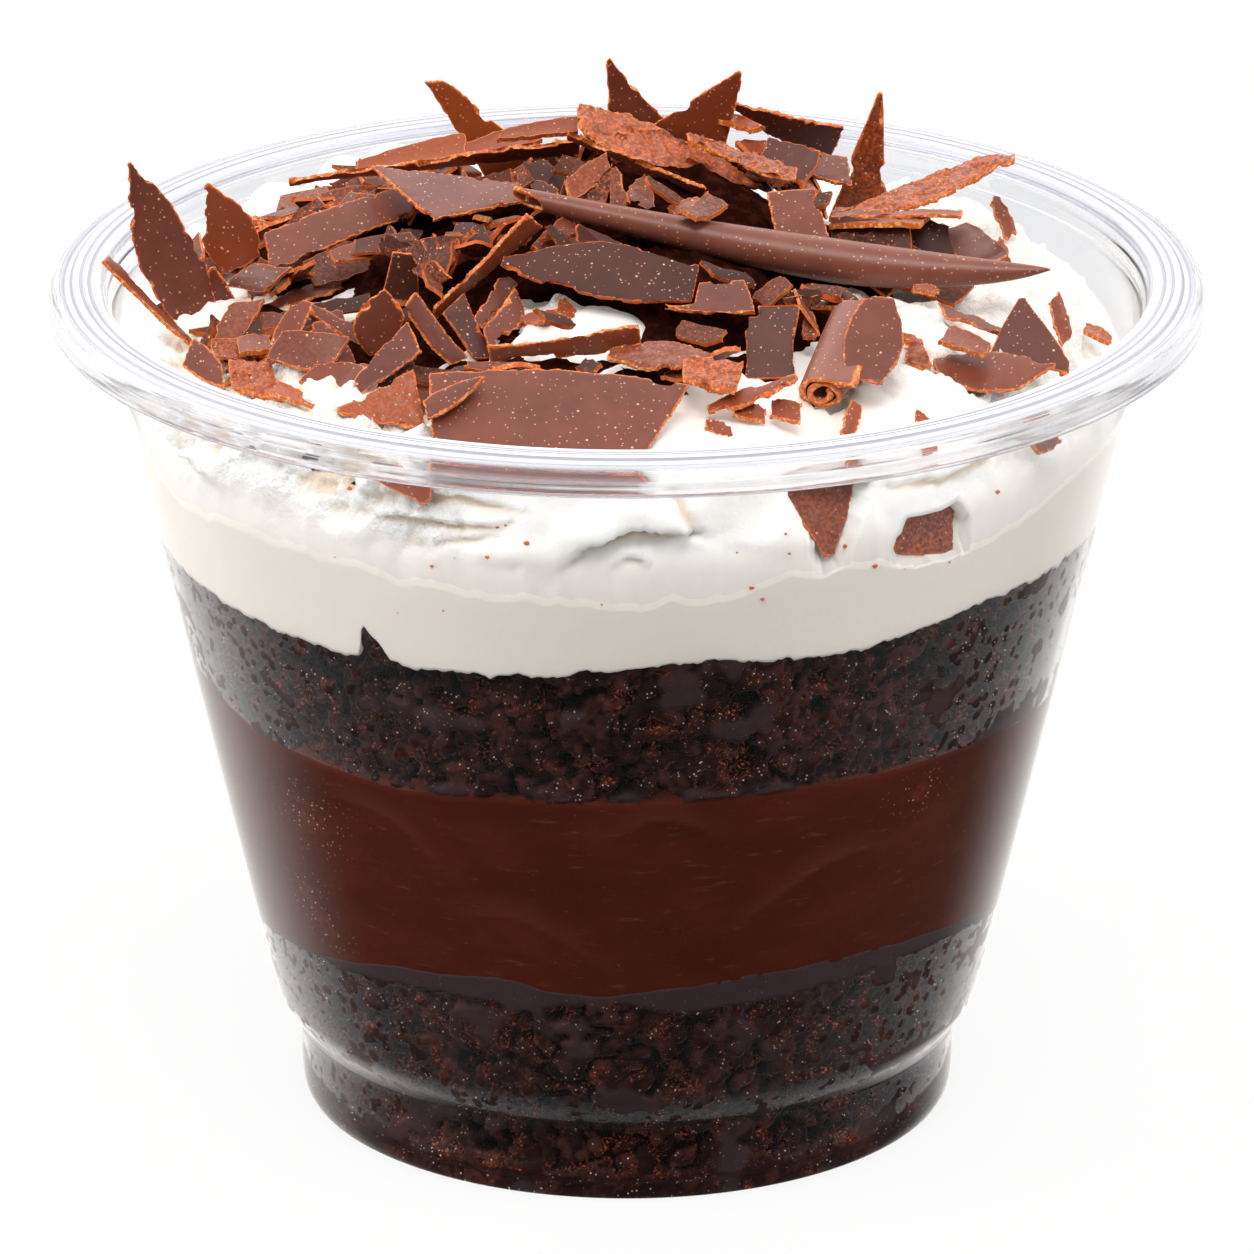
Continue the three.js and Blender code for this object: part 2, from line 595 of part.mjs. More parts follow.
const MATERIALS = {
  plastic: { color: 0xe9eef0, roughness: 0.08, metalness: 0, transparent: true, opacity: 0.35 },
  cake: { color: 0x22120c, roughness: 0.85, metalness: 0 },
  mousse: { color: 0x3f1d12, roughness: 0.5, metalness: 0 },
  cream: { color: 0xf2ece0, roughness: 0.55, metalness: 0 },
  chocolate: { color: 0x53301f, roughness: 0.6, metalness: 0 },
};

const group = new THREE.Group();
group.name = 'black_forest_cake_cup';

function add(name, geometry, finish) {
  const mesh = new THREE.Mesh(geometry, new THREE.MeshStandardMaterial(MATERIALS[finish]));
  mesh.name = name;
  group.add(mesh);
}

add('cup', cupGeometry(), 'plastic');
add('cake_bottom', layerGeometry(
  () => FLOOR + GAP,
  between(CAKE_TO_MOUSSE, -half),
  { heights: INSIDE.slice(1, -1).map(([z]) => z + 0.1) },
), 'cake');
add('mousse', layerGeometry(between(CAKE_TO_MOUSSE, half), between(MOUSSE_TO_CAKE, -half)), 'mousse');
add('cake_top', layerGeometry(between(MOUSSE_TO_CAKE, half), between(CAKE_TO_CREAM, -half)), 'cake');

const cutBy = (solid, tools) => tools.reduce((rest, tool) => rest.subtract(tool), solid);

const keepClear = [];
for (const spec of SHARDS) {
  add(spec.name, toGeometry(largest(cutBy(shardSolid(spec, 0), keepClear))), 'chocolate');
  keepClear.push(shardSolid(spec, GAP));
}
const bare = toManifold(creamGeometry()).subtract(toManifold(heapBed()));
add('cream', toGeometry(largest(cutBy(bare, keepClear))), 'cream');
const coarse = SHARDS.map((spec) => shardSolid({ ...spec, belly: 1.4 * (spec.belly ?? 0) }, GAP, 2));
add('shavings_heap', toGeometry(largest(cutBy(toManifold(heapGeometry()), coarse))), 'chocolate');

export default group;
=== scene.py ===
import math

import bpy
import numpy as np
from bpy.props import FloatProperty, FloatVectorProperty, IntProperty, PointerProperty
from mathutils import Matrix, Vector
from mathutils.bvhtree import BVHTree
from mathutils.kdtree import KDTree


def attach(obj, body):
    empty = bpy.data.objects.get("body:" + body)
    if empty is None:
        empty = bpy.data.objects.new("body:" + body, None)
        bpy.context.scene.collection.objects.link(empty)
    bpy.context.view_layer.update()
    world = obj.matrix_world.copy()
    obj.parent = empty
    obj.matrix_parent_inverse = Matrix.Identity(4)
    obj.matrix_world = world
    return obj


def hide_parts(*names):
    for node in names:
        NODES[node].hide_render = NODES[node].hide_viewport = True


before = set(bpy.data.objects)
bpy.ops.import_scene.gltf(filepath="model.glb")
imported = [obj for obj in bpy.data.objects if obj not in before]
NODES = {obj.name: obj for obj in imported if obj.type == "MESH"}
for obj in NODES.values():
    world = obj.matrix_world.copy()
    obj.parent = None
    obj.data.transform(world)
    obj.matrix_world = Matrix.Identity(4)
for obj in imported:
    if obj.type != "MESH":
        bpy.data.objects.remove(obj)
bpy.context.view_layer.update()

bl_info = {
    "name": "Black Forest Cake Cup",
    "version": (1, 0, 0),
    "blender": (4, 5, 0),
    "location": "3D View > Sidebar > Cake Cup",
    "description": "Layered cake, mousse and cream in a clear cup, under chocolate shavings",
    "category": "Add Mesh",
}

# All sizes are in millimetres until a mesh is made. The cup stands on the origin, its front
# looks toward -Y, and angles run from the front toward +X.

MM = 0.001
LOOK_DOWN = 20.4  # degrees that the camera looks down by


# ---- sizes ---------------------------------------------------------------------------------

WALL = 0.5
FLOOR = 1.4

# The wall's inner and outer face: height, radius.
INSIDE = ((1.4, 26.0), (2.2, 26.9), (6.6, 27.0), (7.5, 27.5), (9.2, 28.7), (10.3, 29.2), (69.0, 42.6))
OUTSIDE = ((0.6, 27.1), (1.6, 27.4), (6.6, 27.5), (7.5, 28.0), (9.2, 29.2), (10.3, 29.7), (68.0, 42.87))

# Lines where the layers meet on the wall: angle, height.
CAKE_TO_MOUSSE = ((-150, 19.2), (-110, 18.4), (-78, 17.3), (-63, 18.4), (-50, 18.9), (-37, 20.4),
                  (-17, 21.4), (-11, 20.3), (-3, 20.3), (17, 21.6), (39, 21.8), (62, 20.7),
                  (76, 18.6), (110, 18.2), (150, 19.6))
FILM_EDGE = ((-150, 18.8), (-110, 18.0), (-78, 17.1), (-60, 18.2), (-43, 18.4), (-31, 18.9), (-15, 18.8),
             (-3, 19.8), (7, 18.5), (17, 18.7), (30, 19.5), (43, 19.9), (60, 19.6), (76, 18.0),
             (110, 17.5), (150, 18.6))
MOUSSE_TO_CAKE = ((-150, 39.3), (-110, 40.0), (-71, 40.5), (-57, 38.7), (-45, 38.4), (-31, 37.9),
                  (-15, 38.6), (0, 38.6), (24, 39.0), (50, 38.8), (74, 37.8), (110, 38.0), (150, 38.9))
CAKE_TO_CREAM = ((-150, 51.3), (-110, 51.0), (-73, 50.9), (-52, 50.2), (-36, 49.8), (-28, 50.0),
                 (-18, 49.9), (-5, 50.9), (7, 51.9), (17, 51.3), (29, 51.1), (45, 52.4), (60, 52.5),
                 (73, 52.2), (110, 51.4), (150, 50.8))
CREAM_LINE = ((-170, 63.9), (-150, 65.2), (-125, 67.0), (-100, 66.6), (-86, 63.2), (-70, 59.1), (-63, 57.8),
              (-53, 58.8), (-40, 58.0), (-34, 58.4), (-26, 57.6), (-14, 57.2), (-3, 56.8), (9, 57.2),
              (14, 57.7), (18, 59.1), (26, 58.9), (33, 58.4), (42, 58.0), (48, 58.6), (56, 59.6),
              (69, 61.4), (80, 61.4), (92, 62.6), (104, 63.8), (125, 64.6), (150, 65.0), (170, 64.0))

# Smears on the mousse: angle, height, reach in degrees, drop along them. Crumbly spots on it: angle,
# height, half width in degrees, half height.
SMEARS = ((-33, 33.5, 8, 0.32), (-14, 26.0, 9, 0.18), (28, 30.0, 11, -0.2), (5, 36.0, 7, 0.05))
CRUMBLY = ((-53, 24.5, 4, 2.2), (-49, 21.8, 4, 1.5), (-49, 32.5, 6, 3.2), (42, 36.0, 4, 1.5))

# Lumps of cream, and a dent where the height is below 0: x, y, height, reach.
CREAM_LUMPS = (
    (-5, -36.6, 1.0, 4), (4, -35.5, 0.9, 4), (14, -31, 1.2, 6), (27, -22, 2.2, 8), (-18, -31, 1.1, 4),
    (-28.5, -24, 1.6, 5), (33, -7, 1.8, 5), (31.5, 13, 1.5, 6), (12, 33, 1.2, 7), (-22, 26, 1.4, 6),
    (-37, 9, 1.2, 5), (-4, -16, 2.3, 5.5), (24, -12, 1.6, 5), (36, 4, 1.0, 3.5), (27, 24, 1.3, 4),
    (22, 30, 1.2, 4), (15.5, -30.0, -1.6, 3.2), (-29, 20, 1.2, 4), (-17, 29, 1.6, 5), (-24, -28, 1.0, 4),
    (-36, -8, 1.3, 4),
)
CROWN = 72.0  # height of the middle of the cream

# Folds that the spoon left on the front of the cream, as lines of x and z: the cream above the
# line stands out by `height` and hangs over a groove below it.
CREAM_FOLDS = (
    (((-5.9, 59.9), (-3.3, 61.9), (0.5, 63.5), (3.2, 63.1), (5.1, 63.0)), 1.7, 3.2),
    (((-11.4, 60.2), (-9.0, 60.4), (-7.1, 60.4), (-5.7, 59.7)), 0.9, 2.2),
    (((-5.4, 58.5), (-2.3, 58.2), (0.2, 58.2), (2.4, 59.1)), 1.1, 1.4),
    (((-2.2, 60.0), (0.3, 61.4), (2.4, 60.2), (1.3, 59.4)), 0.8, 0.9),
    (((5.1, 63.0), (4.0, 64.2), (3.2, 66.2)), 1.2, 2.6),
    (((-20.5, 64.4), (-16.4, 65.2), (-12.6, 65.0), (-8.6, 64.4)), 0.6, 1.6),
    (((-21.5, 62.6), (-16.6, 63.3), (-13.4, 63.0), (-9.6, 63.5)), 0.6, 1.4),
    (((-22.0, 60.6), (-17.4, 61.2), (-14.0, 61.7), (-10.5, 62.6)), 0.55, 1.4),
    (((8.5, 61.6), (13.5, 60.8), (18.0, 61.0)), 0.5, 1.6),
    (((14.5, 60.6), (19.0, 60.0), (24.5, 60.1), (28.5, 61.4)), 0.6, 2.0),
    (((21.0, 64.6), (25.0, 64.3), (29.5, 65.2), (33.5, 66.6)), 0.7, 1.8),
    (((-36.0, 62.4), (-33.0, 61.4), (-29.0, 61.8), (-26.0, 60.4)), 1.1, 2.8),
)

# How far the heap reaches from the middle, how much further it reaches toward one side, and
# where that side is.
HEAP_REACH, HEAP_LEAN, HEAP_LEAN_ANGLE = 31.0, 7.0, -50.0

# A small shaving lies within this distance of the cup's axis, sinks into the cream and stands out
# of the heap's outline by no more than these, keeps this far from the large shavings, and hides
# none of them that is nearer behind it than this.
SHAVING_REACH, SUNK_MOST, PROUD_MOST, CLEARANCE, BEHIND = 39.5, 0.7, 1.6, 0.4, 14

# Places where the cream shows between the shavings: x, y, reach.
BARE_PATCHES = ((-3.5, -16.5, 4.6), (10, -30.5, 5.5), (26, -15, 7.0), (25, -27, 7.5), (-24.5, -28.5, 3.4),
                (-31.5, -4, 2.2), (33, -6, 5.0), (18, -29, 4.0), (-8.5, -13.5, 3.0), (5, -32, 3.0))

# Places where the dark core, which is painted shade for the inside of the heap, lies over the cream: x, y,
# reach.
SHADE_CORE_PATCHES = ((-26.5, 0, 4.2), (-24.5, -16.5, 4.6), (-18, 12, 4.5), (-4, -21.5, 2.4), (-28, -11, 3.6))

# Node groups of the large flat shavings, each made as one piece.
FRONT = ("plate_front", "blade_front", "rough_front", "blade_front_right", "leaf_front_mid",
         "rough_front_mid")
MIDDLE = ("leaf_mid", "leaf_mid_low", "plate_mid_right", "plate_curl", "dark_strip_mid", "edge_mid",
          "slab_mid_a", "slab_mid_b", "square_mid", "dark_up_mid", "strip_up_mid")
LEFT = ("blade_left", "blade_left_pale", "sliver_left", "chip_left", "plate_left", "strip_left",
        "dark_up_left")
FRONT_LEFT = ("plate_mid_left", "leaf_up_left", "finger_left", "leaf_left", "strip_mid_left",
              "rim_chip_left", "rough_left")
RIGHT = ("leaf_rim_right", "wedge_right", "rough_right", "strip_right", "chip_cream_large",
         "chip_cream_small")
TOP = ("edge_top", "rough_top", "plate_top_left", "strip_top_left", "strip_top_mid",
       "plate_back_right")
BACK = ("fan_back_upper", "fan_back_lower", "strip_back", "spike_back", "dark_back", "fin_back_left",
        "fin_back_mid", "fin_back_right")

# How orange a shaving is, from 0 for dusky to 1, and how torn its face is.
TONES = {"fin_back_left": 1.0, "blade_left_pale": 0.75, "rough_front": 0.8, "rough_top": 0.35,
         "strip_top_left": 0.7, "edge_top": 0.6, "edge_mid": 0.6, "dark_strip_mid": 0.4,
         "chip_cream_large": 0.45, "chip_cream_small": 0.5, "leaf_rim_right": 0.35, "wedge_right": 0.3,
         "rough_front_mid": 0.6, "rough_left": 0.6, "rough_right": 0.55, "fin_back_right": 0.5,
         "spike_back": 0.4, "fan_back_upper": 0.4, "fan_back_lower": 0.45, "strip_back": 0.5,
         "sliver_left": 0.5, "blade_front_right": 0.55, "strip_top_mid": 0.35, "finger_left": 0.3}
TORN = {"rough_front": 0.35, "rough_top": 1.0, "rough_front_mid": 0.9, "rough_left": 0.6,
        "rough_right": 0.5, "fan_back_upper": 0.8, "fan_back_lower": 0.7, "strip_top_mid": 0.7,
        "spike_back": 0.5, "chip_cream_large": 0.35, "chip_cream_small": 0.5, "leaf_front_mid": 0.3}

# Painted shade: how much darker a shaving is than most, for the little light it gets; below 0, painted light:
# how much lighter it is.
PAINTED_SHADING = {"leaf_mid": 0.6, "leaf_mid_low": 0.15, "blade_left": -0.05, "plate_mid_left": 0.1,
        "strip_left": 0.2, "plate_mid_right": 0.42, "wedge_right": 0.42, "chip_cream_small": 0.35,
        "chip_cream_large": 0.2, "quill_long": -0.2, "curl_front": -0.3, "rough_top": -0.35,
        "plate_front": -0.06, "plate_left": -0.1, "dark_up_left": 0.4, "dark_back": 0.4,
        "dark_up_mid": 0.4}

# Small shavings that are placed one by one: from, to, width at both ends, where the face looks (round, up)
# and how orange they are; below 0, how much painted shade darkens them.
PLACED = (
    ((-30.7, -0.8, 72), (-29.4, -3.2, 70.8), (2.1, 3.2), (-13, 59), 0.3),
    ((-26.7, -19.3, 69.9), (-23.8, -18.7, 70.2), (2.1, 4.8), (0, 70), 0.2),
    ((-31.4, -17.2, 70.8), (-28.8, -16.8, 70.9), (2.7, 2.2), (0, 80), 0.4),
    ((-28.4, -24.8, 70), (-24.6, -27.2, 69.2), (1.8, 0.3), (0, 70), 0.8),
    ((-30.9, -7.5, 71.3), (-31.8, -10.5, 68.9), (1.4, 1.7), (0, 50), 0.3),
    ((25.6, -18.9, 72.4), (29, -21.1, 71.8), (2.4, 1.5), (0, 75), 0.3),
    ((37.5, -3, 67.6), (39.5, -5, 67.2), (1.0, 1.0), (0, 80), 0.6),
    ((17, 1.7, 75.1), (24.4, 0.3, 75.7), (4.1, 4.7), (-169, 79), 0.4),
    ((6, 17.7, 79.6), (10.8, 14.4, 79.1), (1.2, 1.2), (0, 80), 0.7),
    ((9.5, 14, 77.5), (13.9, 14, 77.5), (2.3, 1.4), (0, 80), 0.6),
    ((-1.6, 1, 80.6), (-4.8, -3, 79.4), (1.4, 1.8), (39, 44), 0.5),
    ((1.6, 3.1, 78.6), (1, 0.9, 76.8), (0.5, 2.8), (0, 50), 0.2),
    ((6.1, -1.4, 78), (3.7, -2.6, 77.4), (1.3, 1.5), (-41, 77), 0.3),
    ((-7.3, -9.7, 76.3), (-4.2, -6.3, 77.3), (1.6, 2.6), (32, 52), 0.2),
    ((7.9, -35.9, 61.2), (11.3, -36.2, 59.4), (0.7, 0.8), (15, 45), 0.8),
    ((-5.6, -15.2, 73.6), (-4.2, -16.4, 73.2), (1.3, 1.1), (10, 60), 0.6),
    ((-8.4, -17.4, 73.0), (-5.2, -16.8, 73.4), (0.9, 1.3), (-10, 70), 0.6),
    ((8.6, -30.2, 70.1), (11.0, -31.0, 69.7), (1.5, 1.2), (0, 60), 0.7),
    ((11.5, -30.0, 70.0), (13.8, -30.6, 69.8), (1.6, 1.9), (10, 60), 0.6),
    ((6.2, -31.6, 69.2), (8.2, -32.2, 68.7), (0.8, 1.0), (-10, 60), 0.6),
    ((18.2, -29.2, 70.2), (17.4, -31.6, 68.2), (0.9, 0.9), (30, 40), 0.8),
    ((23.0, -28.0, 68.6), (24.2, -28.6, 68.2), (0.9, 0.7), (20, 50), 0.8),
    ((23.2, -9.5, 73.2), (25.0, -10.0, 73.1), (0.6, 0.8), (0, 75), 0.6),
    ((34.6, -10.4, 72.8), (35.6, -13.0, 70.0), (1.0, 1.2), (20, 40), 0.4),
    ((32.5, -24.6, 65.0), (34.3, -22.6, 65.2), (1.2, 0.8), (50, 30), 0.5),
    ((-20.3, -34.3, 66.2), (-15.6, -36.4, 65.2), (0.5, 1.6), (-30, 35), 0.6),
    ((30.5, 14.5, 73.0), (32.0, 12.5, 70.5), (0.8, 1.1), (20, 40), 0.6),
    ((30.5, 7.5, 71.5), (31.5, 6.0, 68.8), (1.2, 0.8), (20, 40), 0.7),
    ((19.5, 21.0, 76.0), (20.4, 20.0, 74.0), (0.9, 0.7), (0, 30), 0.5),
    ((-7.5, 18.5, 77.5), (-14.5, 15.5, 76.3), (2.2, 1.6), (-20, 60), 0.8),
    ((-10.5, 13.0, 79.0), (-4.0, 14.0, 79.6), (1.0, 1.8), (0, 65), 0.6),
    ((-22.5, 13.0, 76.2), (-13.5, 14.5, 77.8), (1.2, 2.4), (-10, 60), 0.8),
    ((-26.9, -17.8, 69.6), (-23.1, -20.2, 69.6), (2.0, 3.4), (-15, 62), 0.25),
    ((-33.5, -15.6, 70.2), (-28.7, -17.0, 70.0), (1.6, 2.6), (-20, 60), 0.35),
    ((-30.7, -11.2, 72.6), (-32.4, -15.0, 70.4), (2.4, 2.0), (-15, 45), 0.15),
    ((-30.3, -13.3, 71.2), (-28.2, -14.2, 71.0), (1.8, 1.5), (0, 60), 0.2),
    ((-30.9, -9.7, 73.2), (-28.8, -10.1, 75.4), (2.8, 2.6), (-20, 40), 0.15),
    ((26.5, 4.6, 73.6), (30.1, 2.9, 71.4), (3.0, 2.6), (15, 35), 0.1),
    ((16.8, 0.1, 74.4), (23.3, -1.8, 74.0), (3.6, 3.8), (0, 35), -0.75),
    ((22.9, 1.9, 73.8), (26.7, 1.7, 73.2), (3.6, 3.0), (10, 35), -0.8),
    ((10.9, 11.5, 77.6), (15.3, 9.6, 77.0), (4.0, 3.6), (0, 50), -0.4),
    ((-26.5, -11.8, 71.2), (-24.0, -15.3, 70.4), (2.6, 2.4), (-10, 50), -0.2),
    ((-28.4, -19.6, 71.8), (-23.2, -21.2, 71.4), (2.6, 3.6), (-15, 50), 0.1),
    ((-25.6, -23.0, 70.6), (-21.6, -24.2, 70.4), (1.8, 2.6), (-10, 50), 0.25),
    ((-27.8, -15.2, 71.4), (-22.8, -14.2, 71.6), (2.2, 2.8), (-20, 45), -0.15),
    ((-24.6, -22.4, 69.6), (-20.6, -22.0, 69.8), (1.8, 2.4), (0, 55), 0.2),
    ((-29.0, 1.2, 72.4), (-24.0, -1.6, 72.2), (3.0, 2.4), (-15, 40), -0.45),
    ((-26.0, -3.4, 72.4), (-21.5, -1.2, 73.4), (2.4, 2.8), (0, 40), -0.6),
    ((-9.4, -24.6, 70.2), (-4.6, -24.8, 70.2), (1.4, 2.0), (0, 50), -0.1),
)


# ---- arithmetic ----------------------------------------------------------------------------


def srgb(red, green, blue):
    """The linear colour of a display colour given from 0 to 255."""
    levels = (red, green, blue)
    return tuple(c / 3294.6 if c <= 10.3 else ((c / 255 + 0.055) / 1.055) ** 2.4 for c in levels)


def smooth(start, end, value):
    """0 at start, 1 at end, with an S-curve between."""
    t = np.clip((value - start) / (end - start), 0, 1)
    return t * t * (3 - 2 * t)


def around(angle, radius, z):
    """Points at angles in degrees from the front, radii and heights."""
    turn = np.radians(angle)
    return np.stack(np.broadcast_arrays(radius * np.sin(turn), -radius * np.cos(turn), z), axis=-1)


def facing(turn, up):
    """The direction that a face looks in: round the cup, and up from level."""
    turn, up = math.radians(turn), math.radians(up)
    return np.array((math.cos(up) * math.sin(turn), -math.cos(up) * math.cos(turn), math.sin(up)))


def line_at(line, angle):
    """Height of a line round the cup, rounded off between its points."""
    marks = np.arange(-180, 180, 0.5)
    heights = np.interp(marks, [p[0] for p in line], [p[1] for p in line], period=360)
    window = np.hanning(17)
    rounded = np.convolve(np.tile(heights, 3), window / window.sum(), mode="same")[720:1440]
    return np.interp(angle, marks, rounded, period=360)


def hashed(cells, seed):
    """A fixed random number from 0 to 1 for each whole-numbered cell."""
    n = cells[..., 0] * 374761393 + cells[..., 1] * 668265263 + cells[..., 2] * 1274126177
    n = (n + seed * 974634777) & 0xFFFFFFFF
    n = ((n ^ (n >> 13)) * 1103515245) & 0xFFFFFFFF
    n = ((n ^ (n >> 15)) * 1664525) & 0xFFFFFFFF
    return (n ^ (n >> 14)) % 65536 / 65535


def wander(points, size, seed=0):
    """Smooth noise from -1 to 1 with bumps of that size."""
    place = points / size
    cell = np.floor(place).astype(np.int64)
    part = place - cell
    part = part * part * (3 - 2 * part)
    total = np.zeros(len(points))
    for corner in np.ndindex(2, 2, 2):
        weight = np.prod(np.where(corner, part, 1 - part), axis=1)
        total += weight * hashed(cell + np.array(corner), seed)
    return 2 * total - 1


def drift(points, size, seed):
    """Smooth noise in three directions at once, from -1 to 1."""
    return np.stack([wander(points, size, seed + k) for k in range(3)], axis=1)


def layered(points, size, seed=0, octaves=3):
    """Noise of several sizes, each half as large and half as strong as the one before."""
    return sum(wander(points, size / 2**k, seed + k) / 2**k for k in range(octaves))


def grains(points, size, seed=0):
    """Packed grains: how far each point is from the nearest and the second nearest grain, in
    grain sizes, and a random number of the nearest."""
    place = points / size
    cell = np.floor(place).astype(np.int64)
    nearest = np.full(len(points), 9.0)
    second = nearest.copy()
    which = np.zeros(len(points))
    for offset in np.ndindex(3, 3, 3):
        there = cell + np.array(offset) - 1
        shift = np.stack([hashed(there, seed + k) for k in (1, 2, 3)], axis=1)
        gap = np.linalg.norm(place - there - 0.05 - 0.9 * shift, axis=1)
        closer = gap < nearest
        second = np.where(closer, nearest, np.minimum(second, gap))
        which = np.where(closer, hashed(there, seed + 4), which)
        nearest = np.where(closer, gap, nearest)
    return nearest, second, which


def inside_radius(z):
    return np.interp(z, [p[0] for p in INSIDE], [p[1] for p in INSIDE])


def filling_radius(z):
    """Radius of what fills the cup: it reaches just into the wall."""
    return inside_radius(z) + 0.3 * WALL


# ---- meshes --------------------------------------------------------------------------------


def new_piece(name, points, faces, material, values=None, flat_angle=None):
    """A mesh object from points in millimetres, with a number per point for each named value."""
    mesh = bpy.data.meshes.new(name)
    mesh.from_pydata((np.asarray(points) * MM).tolist(), [], [tuple(face) for face in faces])
    mesh.validate()
    mesh.shade_smooth()
    if flat_angle:
        mesh.set_sharp_from_angle(angle=math.radians(flat_angle))
    for key, numbers in (values or {}).items():
        attribute = mesh.attributes.new(key, "FLOAT", "POINT")
        attribute.data.foreach_set("value", np.asarray(numbers, dtype=float))
    piece = bpy.data.objects.new(name, mesh)
    piece.data.materials.append(material)
    bpy.context.scene.collection.objects.link(piece)
    return piece


def finish_piece(piece, slot, *nodes):
    """The piece belongs to the cup's one body and stands for those nodes."""
    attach(piece, "root")
    if nodes:
        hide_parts(*nodes)


def grid_faces(rows, columns):
    """Faces between rings of points, each ring closed on itself."""
    row, column = np.meshgrid(np.arange(rows - 1), np.arange(columns), indexing="ij")
    after = (column + 1) % columns
    low, high = row * columns, (row + 1) * columns
    return np.stack([c.ravel() for c in (low + column, low + after, high + after, high + column)], axis=1)


def closed_rings(rings):
    """Points and faces of a body from rings of points, closed at both ends by a fan."""
    rings = np.asarray(rings)
    rows, columns = rings.shape[:2]
    points = np.concatenate([rings.reshape(-1, 3), rings[:1].mean(axis=1), rings[-1:].mean(axis=1)])
    faces = [tuple(f) for f in grid_faces(rows, columns)]
    low, high = rows * columns, rows * columns + 1
    last = (rows - 1) * columns
    for i in range(columns):
        j = (i + 1) % columns
        faces.append((low, j, i))
        faces.append((high, last + i, last + j))
    return points, faces


def node_points(name):
    """Points of a CAD node, in millimetres."""
    mesh = NODES[name].data
    points = np.empty(len(mesh.vertices) * 3)
    mesh.vertices.foreach_get("co", points)
    return points.reshape(-1, 3) / MM


def node_tree(*names):
    """A search tree over the faces of CAD nodes, in millimetres."""
    points, faces = [], []
    for name in names:
        first = len(points)
        points += node_points(name).tolist()
        faces += [[first + v for v in p.vertices] for p in NODES[name].data.polygons]
    return BVHTree.FromPolygons(points, faces)


def remeshed(points, faces, voxel):
    """Points and faces of a closed body, rebuilt from small even faces."""
    mesh = bpy.data.meshes.new("rough_cut")
    mesh.from_pydata(np.asarray(points).tolist(), [], faces)
    body = bpy.data.objects.new("rough_cut", mesh)
    bpy.context.scene.collection.objects.link(body)
    remesh = body.modifiers.new("Remesh", "REMESH")
    remesh.mode = "VOXEL"
    remesh.voxel_size = voxel
    made = body.evaluated_get(bpy.context.evaluated_depsgraph_get()).to_mesh()
    new_points = np.empty(len(made.vertices) * 3)
    made.vertices.foreach_get("co", new_points)
    new_faces = [tuple(p.vertices) for p in made.polygons]
    normals = np.empty(len(made.vertices) * 3)
    made.vertices.foreach_get("normal", normals)
    bpy.data.objects.remove(body)
    bpy.data.meshes.remove(mesh)
    return new_points.reshape(-1, 3), new_faces, normals.reshape(-1, 3)


def joined(parts):
    """One set of points, faces and values from several."""
    points, faces, values = [], [], {}
    count = 0
    for part_points, part_faces, part_values in parts:
        points.append(part_points)
        faces += [tuple(v + count for v in face) for face in part_faces]
        count += len(part_points)
        for key, numbers in part_values.items():
            values.setdefault(key, []).append(numbers)
    return np.concatenate(points), faces, {k: np.concatenate(v) for k, v in values.items()}


# ---- finishes ------------------------------------------------------------------------------


